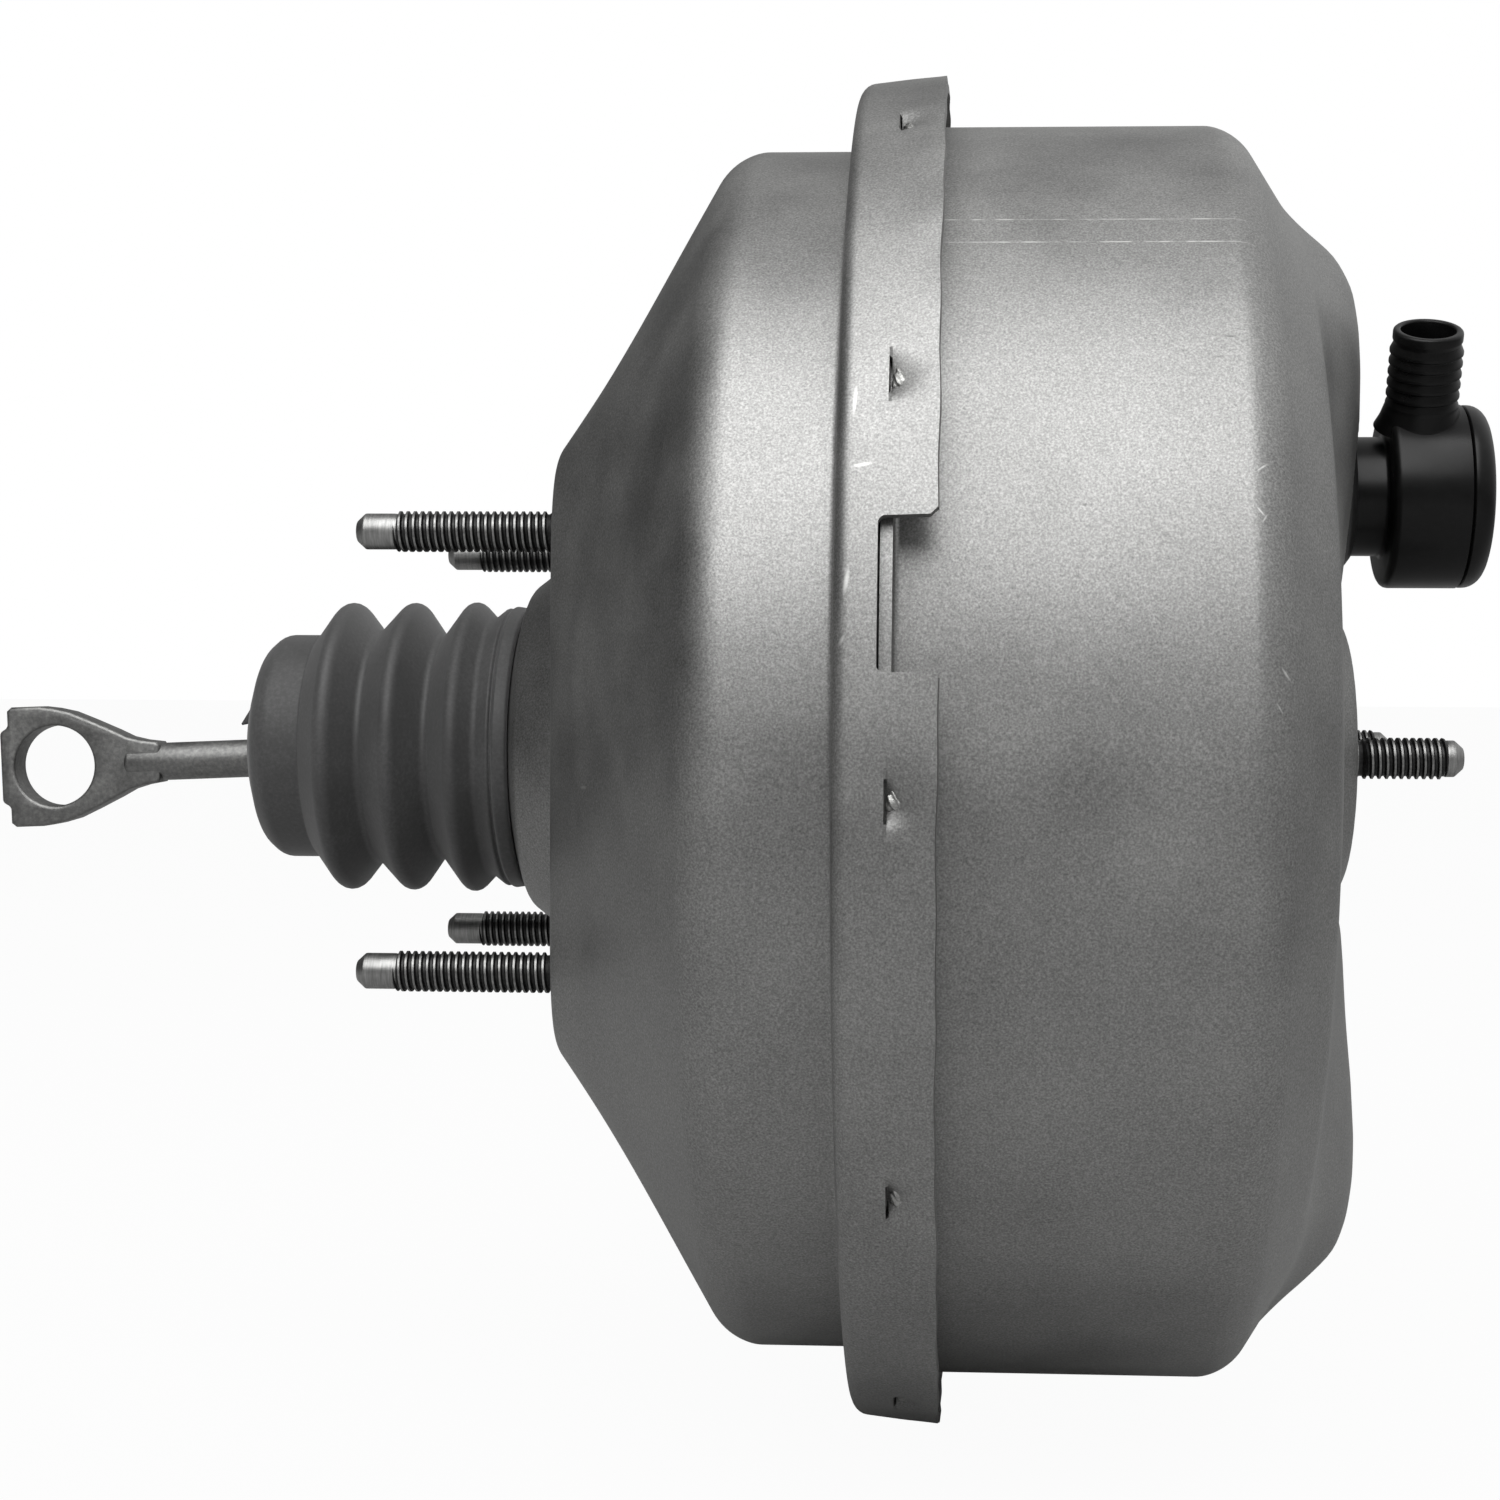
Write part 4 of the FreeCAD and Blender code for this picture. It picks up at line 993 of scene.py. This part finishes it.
@dataclass
class Stud:
    """A threaded stud with a turned pilot end, modelled along +X and copied."""

    reach: float
    pilot: float
    diameter: float = 7.94
    pilot_diameter: float = 7.0
    pitch: float = 1.4111
    depth: float = 0.62
    steps: int = 40
    plain: float = 1.1

    def thread(self) -> Mesh:
        """The rolled thread, its ends running out in a chamfer."""
        crest = self.diameter / 2
        root = crest - self.depth
        pitch = self.pitch
        run = self.reach - self.pilot - self.plain
        turns = math.ceil(run / pitch) + 1
        line = draw_line("thread", [(0, root), (0.12 * pitch, root), (0.36 * pitch, crest),
                                    (0.64 * pitch, crest), (0.88 * pitch, root),
                                    (pitch, root)])
        apply_modifier(line, "SCREW", axis="X", screw_offset=pitch * MM, iterations=turns,
                       steps=self.steps, render_steps=self.steps, use_merge_vertices=True,
                       merge_threshold=1e-7)
        points = points_of(line)
        out = np.hypot(points[:, 1], points[:, 2])
        along = points[:, 0] - pitch
        ends = np.minimum(along, run - along)
        low, high = self.plain, self.plain + run
        limit = np.clip(root - 0.3 + 1.1 * ends, root - 0.4, crest)
        points[:, 1:] *= (np.minimum(out, limit) / out)[:, None]
        points[:, 0] = np.clip(along + low, low - 0.2, high + 0.2)
        set_points(line, points)
        start_edit(line)
        weld(1e-6)
        end_edit()
        return line

    def build(self, name: str) -> Mesh:
        """Makes one stud from its foot at the origin to its tip.

        Args:
            name: The stud's name.

        Returns:
            The stud, dressed, not yet in place.
        """
        crest = self.diameter / 2
        root = crest - self.depth
        pilot = self.pilot_diameter / 2
        shank = self.reach - self.pilot
        core = spin_round(draw_line("core", [
            (-1.0, 0), (-1.0, crest - 0.15), (self.plain - 0.5, crest - 0.15),
            (self.plain, root + 0.05), (shank - 0.9, root + 0.05), (shank - 0.1, pilot, 0.2),
            (self.reach - 1.9, pilot, 0.5), (self.reach - 0.25, pilot - 1.5, 0.5),
            (self.reach, 0)]), self.steps)
        threads = self.thread()
        dress(core, BLACK_THREAD, CREST_WEAR_AND_HIGHLIGHT, TURNED_STEEL)
        dress(threads, BLACK_THREAD, CREST_WEAR_AND_HIGHLIGHT, TURNED_STEEL)
        # The plain foot and the crests take the lighter crest material, partly wear and partly a
        # painted highlight; the pilot is turned steel
        for face in core.data.polygons:
            turned = face.center[0] > (shank - 0.8) * MM
            foot = face.center[0] < (self.plain - 0.4) * MM
            face.material_index = 2 if turned else 1 if foot else 0
        # Faces at the crest radius get the lighter material: painted highlight along the crest
        # lines, partly wear
        for face in threads.data.polygons:
            out = math.hypot(face.center[1], face.center[2])
            face.material_index = 1 if out > (crest - 0.06) * MM else 0
        return smooth(merge_pieces(name, [core, threads]), 40)


@dataclass
class StudGroups:
    """Four studs on the firewall face and two on the master cylinder pad."""

    square: float = 42.86
    pad: float = 152.8
    rear: Stud = field(default_factory=lambda: Stud(39.8, 7.4))
    front: Stud = field(default_factory=lambda: Stud(21.0, 3.1))

    def group(self, stud: Stud, name: str, node: str, places: Sequence[Matrix]) -> None:
        """Copies one stud to its places and settles the group.

        Args:
            stud: The stud.
            name: What the copies' names start with.
            node: The CAD node that the group stands for.
            places: Where the copies go.
        """
        model = stud.build(name)
        twins = [copied(model, f"{name}_{i}", place) for i, place in enumerate(places)]
        bpy.data.objects.remove(model)
        settle(merge_pieces(f"{name}_set", twins), Body.HOUSING, "stud_steel", node)

    def build(self) -> None:
        """Makes, dresses and settles both groups."""
        half = self.square
        back = Matrix.Rotation(math.pi, 4, "Z")
        self.group(self.rear, "firewall_stud", "firewall_studs",
                   [shift(0, y, z) @ back for y in (-half, half) for z in (-half, half)])
        self.group(self.front, "pad_stud", "master_cylinder_studs",
                   [shift(self.pad, y, 0) for y in (-half, half)])


@dataclass
class DustBoot:
    """The rubber bellows from the neck to the end of the valve body."""

    wall: float = 1.6
    steps: int = 256
    stroke: float = 32.0
    shell_end: float = -13.2
    flap_at: tuple[float, float, float] = (-69.4, -10.0, 6.6)
    flap_foot: float = 3.2
    flap_tip: float = 0.2
    flap_length: float = 7.0
    flap_turn: float = -125.0
    flap_flat: float = 0.4
    line: tuple[Corner, ...] = (
        (-13.2, 27.7), (-13.2, 29.3, 0.6), (-15.9, 29.7, 0.5), (-16.5, 28.6, 0.3),
        (-17.1, 29.5, 0.5), (-20.3, 27.0, 1.2), (-24.6, 31.6, 2.0), (-31.2, 22.9, 1.2),
        (-37.3, 31.6, 2.2), (-44.6, 23.9, 1.2), (-50.8, 31.8, 2.4), (-57.0, 23.5, 0.6),
        (-64.6, 23.5, 3.4), (-67.6, 20.9, 4.0), (-69.9, 14.6, 7.0), (-70.9, 8.6), (-70.9, 7.5))

    def flap(self) -> Mesh:
        """The small torn point that stands out of the boot's end."""
        bpy.ops.mesh.primitive_cone_add(vertices=24, radius1=self.flap_foot * MM,
                                        radius2=self.flap_tip * MM, depth=self.flap_length * MM,
                                        rotation=(0, math.radians(self.flap_turn), 0))
        point = bpy.context.active_object
        bpy.ops.object.transform_apply(location=True, rotation=True, scale=True)
        return move(point, Matrix.Diagonal((1, self.flap_flat, 1, 1)), shift(*self.flap_at))

    def build(self) -> Mesh:
        """Makes, dresses and settles the boot."""
        skin = spin_round(draw_line("dust_boot_bellows", self.line), self.steps,
                          lambda p: -63 * MM < p.x < -59 * MM)
        thicken(skin, self.wall)
        skin = merge_pieces("dust_boot_bellows", [skin, self.flap()])
        smooth(dress(skin, BOOT_RUBBER), 50)
        settle(skin, Body.HOUSING, "boot_rubber", "dust_boot")
        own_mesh(skin)
        return skin


@dataclass
class PedalPushrod:
    """The forged rod from the ball in the plunger to the flat eye."""

    ball: float = -10.0
    ball_radius: float = 5.0
    shank: float = 4.0
    eye: float = 104.8
    droop: float = 2.5
    thick: float = 7.0
    hole: float = 8.55
    upper: tuple[tuple[float, float], ...] = (
        (22.9, 3.4), (22.3, 4.3), (18.9, 4.8), (15.9, 5.6), (12.8, 7.2), (7.9, 9.5),
        (3.6, 11.4), (0.0, 12.3), (-3.0, 12.75), (-8.9, 12.75), (-9.9, 11.9), (-9.9, 8.4),
        (-11.6, 7.5))

    def plate(self) -> Mesh:
        """The eye plate about its own centre, with its hole."""
        lower = [(x, -z) for x, z in reversed(self.upper)]
        rim = [Vector((x, -self.thick / 2, z)) * MM for x, z in (*self.upper, *lower)]
        plate = trace("eye_plate", rim)
        take_all()
        bpy.ops.mesh.edge_face_add()
        bpy.ops.mesh.extrude_region_move(
            TRANSFORM_OT_translate={"value": (0, self.thick * MM, 0)})
        face_out()
        end_edit()
        bpy.ops.mesh.primitive_cylinder_add(vertices=96, radius=self.hole * MM,
                                            depth=3 * self.thick * MM,
                                            rotation=(math.pi / 2, 0, 0))
        drill = bpy.context.active_object
        bpy.ops.object.transform_apply(location=True, rotation=True, scale=True)
        apply_modifier(plate, "BOOLEAN", object=drill, operation="DIFFERENCE", solver="EXACT")
        bpy.data.objects.remove(drill)
        apply_modifier(plate, "BEVEL", width=0.75 * MM, segments=3, limit_method="ANGLE",
                       angle_limit=math.radians(50))
        return plate

    def build(self) -> Mesh:
        """Makes, dresses and settles the rod at its resting droop."""
        end = -self.eye + 18.0
        rod = spin_round(draw_line("pedal_pushrod_forging", [
            (end - 3, 0), (end - 3, self.shank, 1.0), (end + 12, self.shank), (-60, self.shank),
            (-14, self.shank, 1.0), (-8, self.shank - 1.2, 0.5), (-3.2, 3.2), (-2.2, 4.5),
            (0, self.ball_radius), (2.2, 4.5), (3.6, 3.4), (4.5, 2.1), (self.ball_radius, 0)]),
            96)
        plate = move(self.plate(), shift(-self.eye, 0, 0))
        piece = merge_pieces("pedal_pushrod_forging", [rod, plate])
        move(piece, shift(self.ball, 0, 0) @ turned(-self.droop, "Y"))
        smooth(dress(piece, FORGED_STEEL), 40)
        return settle(piece, Body.PUSHROD, "rod_steel", "pedal_pushrod")


@dataclass
class CheckValve:
    """The black plastic vacuum valve in its rubber grommet on the upper lobe."""

    across: float = -15.0
    above: float = 52.0
    lean: float = 27.0
    seat: float = 152.2
    body_start: float = 162.0
    seam: float = 177.3
    end: float = 182.0
    radius: float = 18.4
    nipple_at: float = 168.4
    bore: float = 5.3
    reach: float = 35.2
    steps: int = 128

    def place(self, piece: Mesh) -> Mesh:
        """Moves a turned piece from the booster's axis to the valve's."""
        return move(piece, shift(0, self.across, self.above))

    def nipple(self) -> Mesh:
        """The hose nipple with its fine barbs, leaning to the near side."""
        barbs: list[Corner] = []
        first = self.reach - 15.6
        for i in range(6):
            foot = first + 2.2 * i
            barbs += [(foot, 7.15), (foot + 0.5, 7.15, 0.2), (foot + 1.9, 6.5, 0.3)]
        tube = spin_round(draw_line("nipple", [
            (15.0, 9.0), (17.0, 8.0, 1.5), (first - 0.4, 7.3, 1.0), *barbs,
            (self.reach - 1.9, 6.8, 0.4), (self.reach, 6.8, 0.6), (self.reach, self.bore, 0.4),
            (14.0, self.bore)]), self.steps // 2)
        return move(tube, turned(-90, "Y"), turned(self.lean, "X"), shift(self.nipple_at, 0, 0))

    def build(self) -> None:
        """Makes, dresses and settles grommet, body with nipple, and cap."""
        face = self.seat + 0.1
        grommet = spin_round(draw_line("grommet_ring", [
            (face - 2.9, 0), (face - 2.9, 12.0), (face, 12.0), (face, 14.5, 0.4),
            (face + 2.0, 14.5, 1.2), (face + 3.4, 12.6, 0.6), (face + 3.4, 0)]), self.steps)
        smooth(dress(self.place(grommet), SEAL_RUBBER), 50)
        settle(grommet, Body.HOUSING, "black_rubber", "check_valve_grommet")
        shell = spin_round(draw_line("valve_housing", [
            (face + 2.6, 0), (face + 2.6, 11.95), (self.body_start, 11.95, 0.8),
            (self.body_start, self.radius, 1.6), (self.seam - 0.3, self.radius),
            (self.seam, self.radius - 0.4), (self.seam, 0)]), self.steps)
        body = merge_pieces("check_valve_moulding", [shell, self.nipple()])
        smooth(dress(self.place(body), GLOSS_NYLON), 50)
        settle(body, Body.VALVE, "valve_plastic", "check_valve_body")
        rim = self.radius - 0.1
        cap = spin_round(draw_line("check_valve_lid", [
            (self.seam + 0.1, 0), (self.seam + 0.1, rim - 0.3), (self.seam + 0.4, rim, 0.2),
            (self.end, rim, 3.6), (self.end, 0)]), self.steps)
        smooth(dress(self.place(cap), GLOSS_NYLON), 50)
        settle(cap, Body.VALVE, "valve_plastic", "check_valve_cap")


@dataclass
class Studio:
    """Plain pale floor, soft lamps and the camera at the photograph's angle."""

    floor_level: float = -137.4
    floor_white: float = 0.96
    camera_place: tuple[float, float, float] = (79.5, -523.2, 13.4)
    target: tuple[float, float, float] = (53.0, 0.0, -0.2)
    lens: float = 59.76
    shift: float = -0.062
    roll: float = 0.3

    def floor(self) -> None:
        """A pale floor that the camera sees nearly white, with the object's soft shadow."""
        bpy.ops.mesh.primitive_plane_add(size=40)
        slab = bpy.context.active_object
        slab.name = "studio_floor"
        move(slab, shift(0, 0, self.floor_level))
        paint = bpy.data.materials.new("studio floor, painted")
        paint.use_nodes = True
        tree = paint.node_tree
        shader = tree.nodes["Principled BSDF"]
        shader.inputs["Base Color"].default_value = linear("#B0B0B0")
        shader.inputs["Roughness"].default_value = 0.9
        shader.inputs["Specular IOR Level"].default_value = 0.1
        white = add_node(tree, "Emission", {"Color": WHITE, "Strength": 1.0})
        seen = compute(tree, "MULTIPLY", add_node(tree, "LightPath").outputs[0],
                       self.floor_white)
        show_mix(tree, "Material Output", seen, (shader, white))
        slab.data.materials.append(paint)

    def world(self) -> None:
        """Grey studio walls and a pale ceiling for the object, white for the camera."""
        world = bpy.data.worlds.new("studio")
        bpy.context.scene.world = world
        world.use_nodes = True
        tree = world.node_tree
        rays = add_node(tree, "LightPath").outputs
        towards = add_node(tree, "SeparateXYZ",
                           {0: add_node(tree, "TexCoord").outputs["Generated"]}).outputs
        ramp = add_node(tree, "ValToRGB", {"Fac": towards[2]})
        set_stops(ramp, [(0.0, "#686868"), (0.3, "#8E8E8E"), (0.9, "#B8B8B8")])
        side = remap(tree, towards[0], (-0.6, 0.95), (0.35, 2.8),
                     interpolation_type="SMOOTHSTEP")
        room = add_node(tree, "Background", {"Color": ramp.outputs[0], "Strength": side})
        white = add_node(tree, "Background", {"Color": WHITE, "Strength": 1.0})
        seen = compute(tree, "MAXIMUM", rays["Is Camera Ray"], rays["Is Transmission Ray"])
        show_mix(tree, "World Output", seen, (room, white))

    def lamp(self, name: str, place: tuple[float, float, float], size: tuple[float, float],
             power: float) -> None:
        """A soft rectangular lamp aimed at the booster.

        Args:
            name: The lamp's name.
            place: Where it hangs, in mm.
            size: Its width and height in mm.
            power: Watts.
        """
        light = bpy.data.lights.new(name, "AREA")
        light.shape = "RECTANGLE"
        light.size, light.size_y = size[0] * MM, size[1] * MM
        light.energy = power
        lamp = bpy.data.objects.new(name, light)
        bpy.context.collection.objects.link(lamp)
        lamp.location = Vector(place) * MM
        aim = Vector(self.target) - Vector(place)
        lamp.rotation_euler = aim.to_track_quat("-Z", "Y").to_euler()

    def camera(self) -> None:
        """The camera, a little right of and above the middle of the booster."""
        view = bpy.data.cameras.new("studio_camera")
        view.lens = self.lens
        view.sensor_width = 36.0
        view.shift_x = self.shift
        stand = bpy.data.objects.new("studio_camera", view)
        bpy.context.collection.objects.link(stand)
        aim = (Vector(self.target) - Vector(self.camera_place)).to_track_quat("-Z", "Y")
        turned = aim @ Quaternion((0, 0, 1), math.radians(self.roll))
        stand.location = Vector(self.camera_place) * MM
        stand.rotation_euler = turned.to_euler()
        bpy.context.scene.camera = stand

    def build(self) -> None:
        """Sets up the whole studio."""
        self.floor()
        self.world()
        self.lamp("key_softbox", (-110, -740, 945), (1100, 1170), 19.8)
        self.camera()
        bpy.context.scene.view_settings.view_transform = "Standard"


def dress_nodes() -> None:
    """Gives the carried-over inner CAD pieces their finishes."""
    for name, finish in NODE_FINISHES.items():
        dress(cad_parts[name], finish)


def main() -> None:
    """Builds every sub-assembly in order."""
    logging.basicConfig(level=logging.INFO, format="%(name)s: %(message)s")
    dress_nodes()
    for assembly in (RearShell(), FrontShell(), StudGroups(), DustBoot(), PedalPushrod(),
                     CheckValve(), Studio()):
        LOG.info("building %s", type(assembly).__name__)
        assembly.build()


if __name__ == "__main__":
    main()
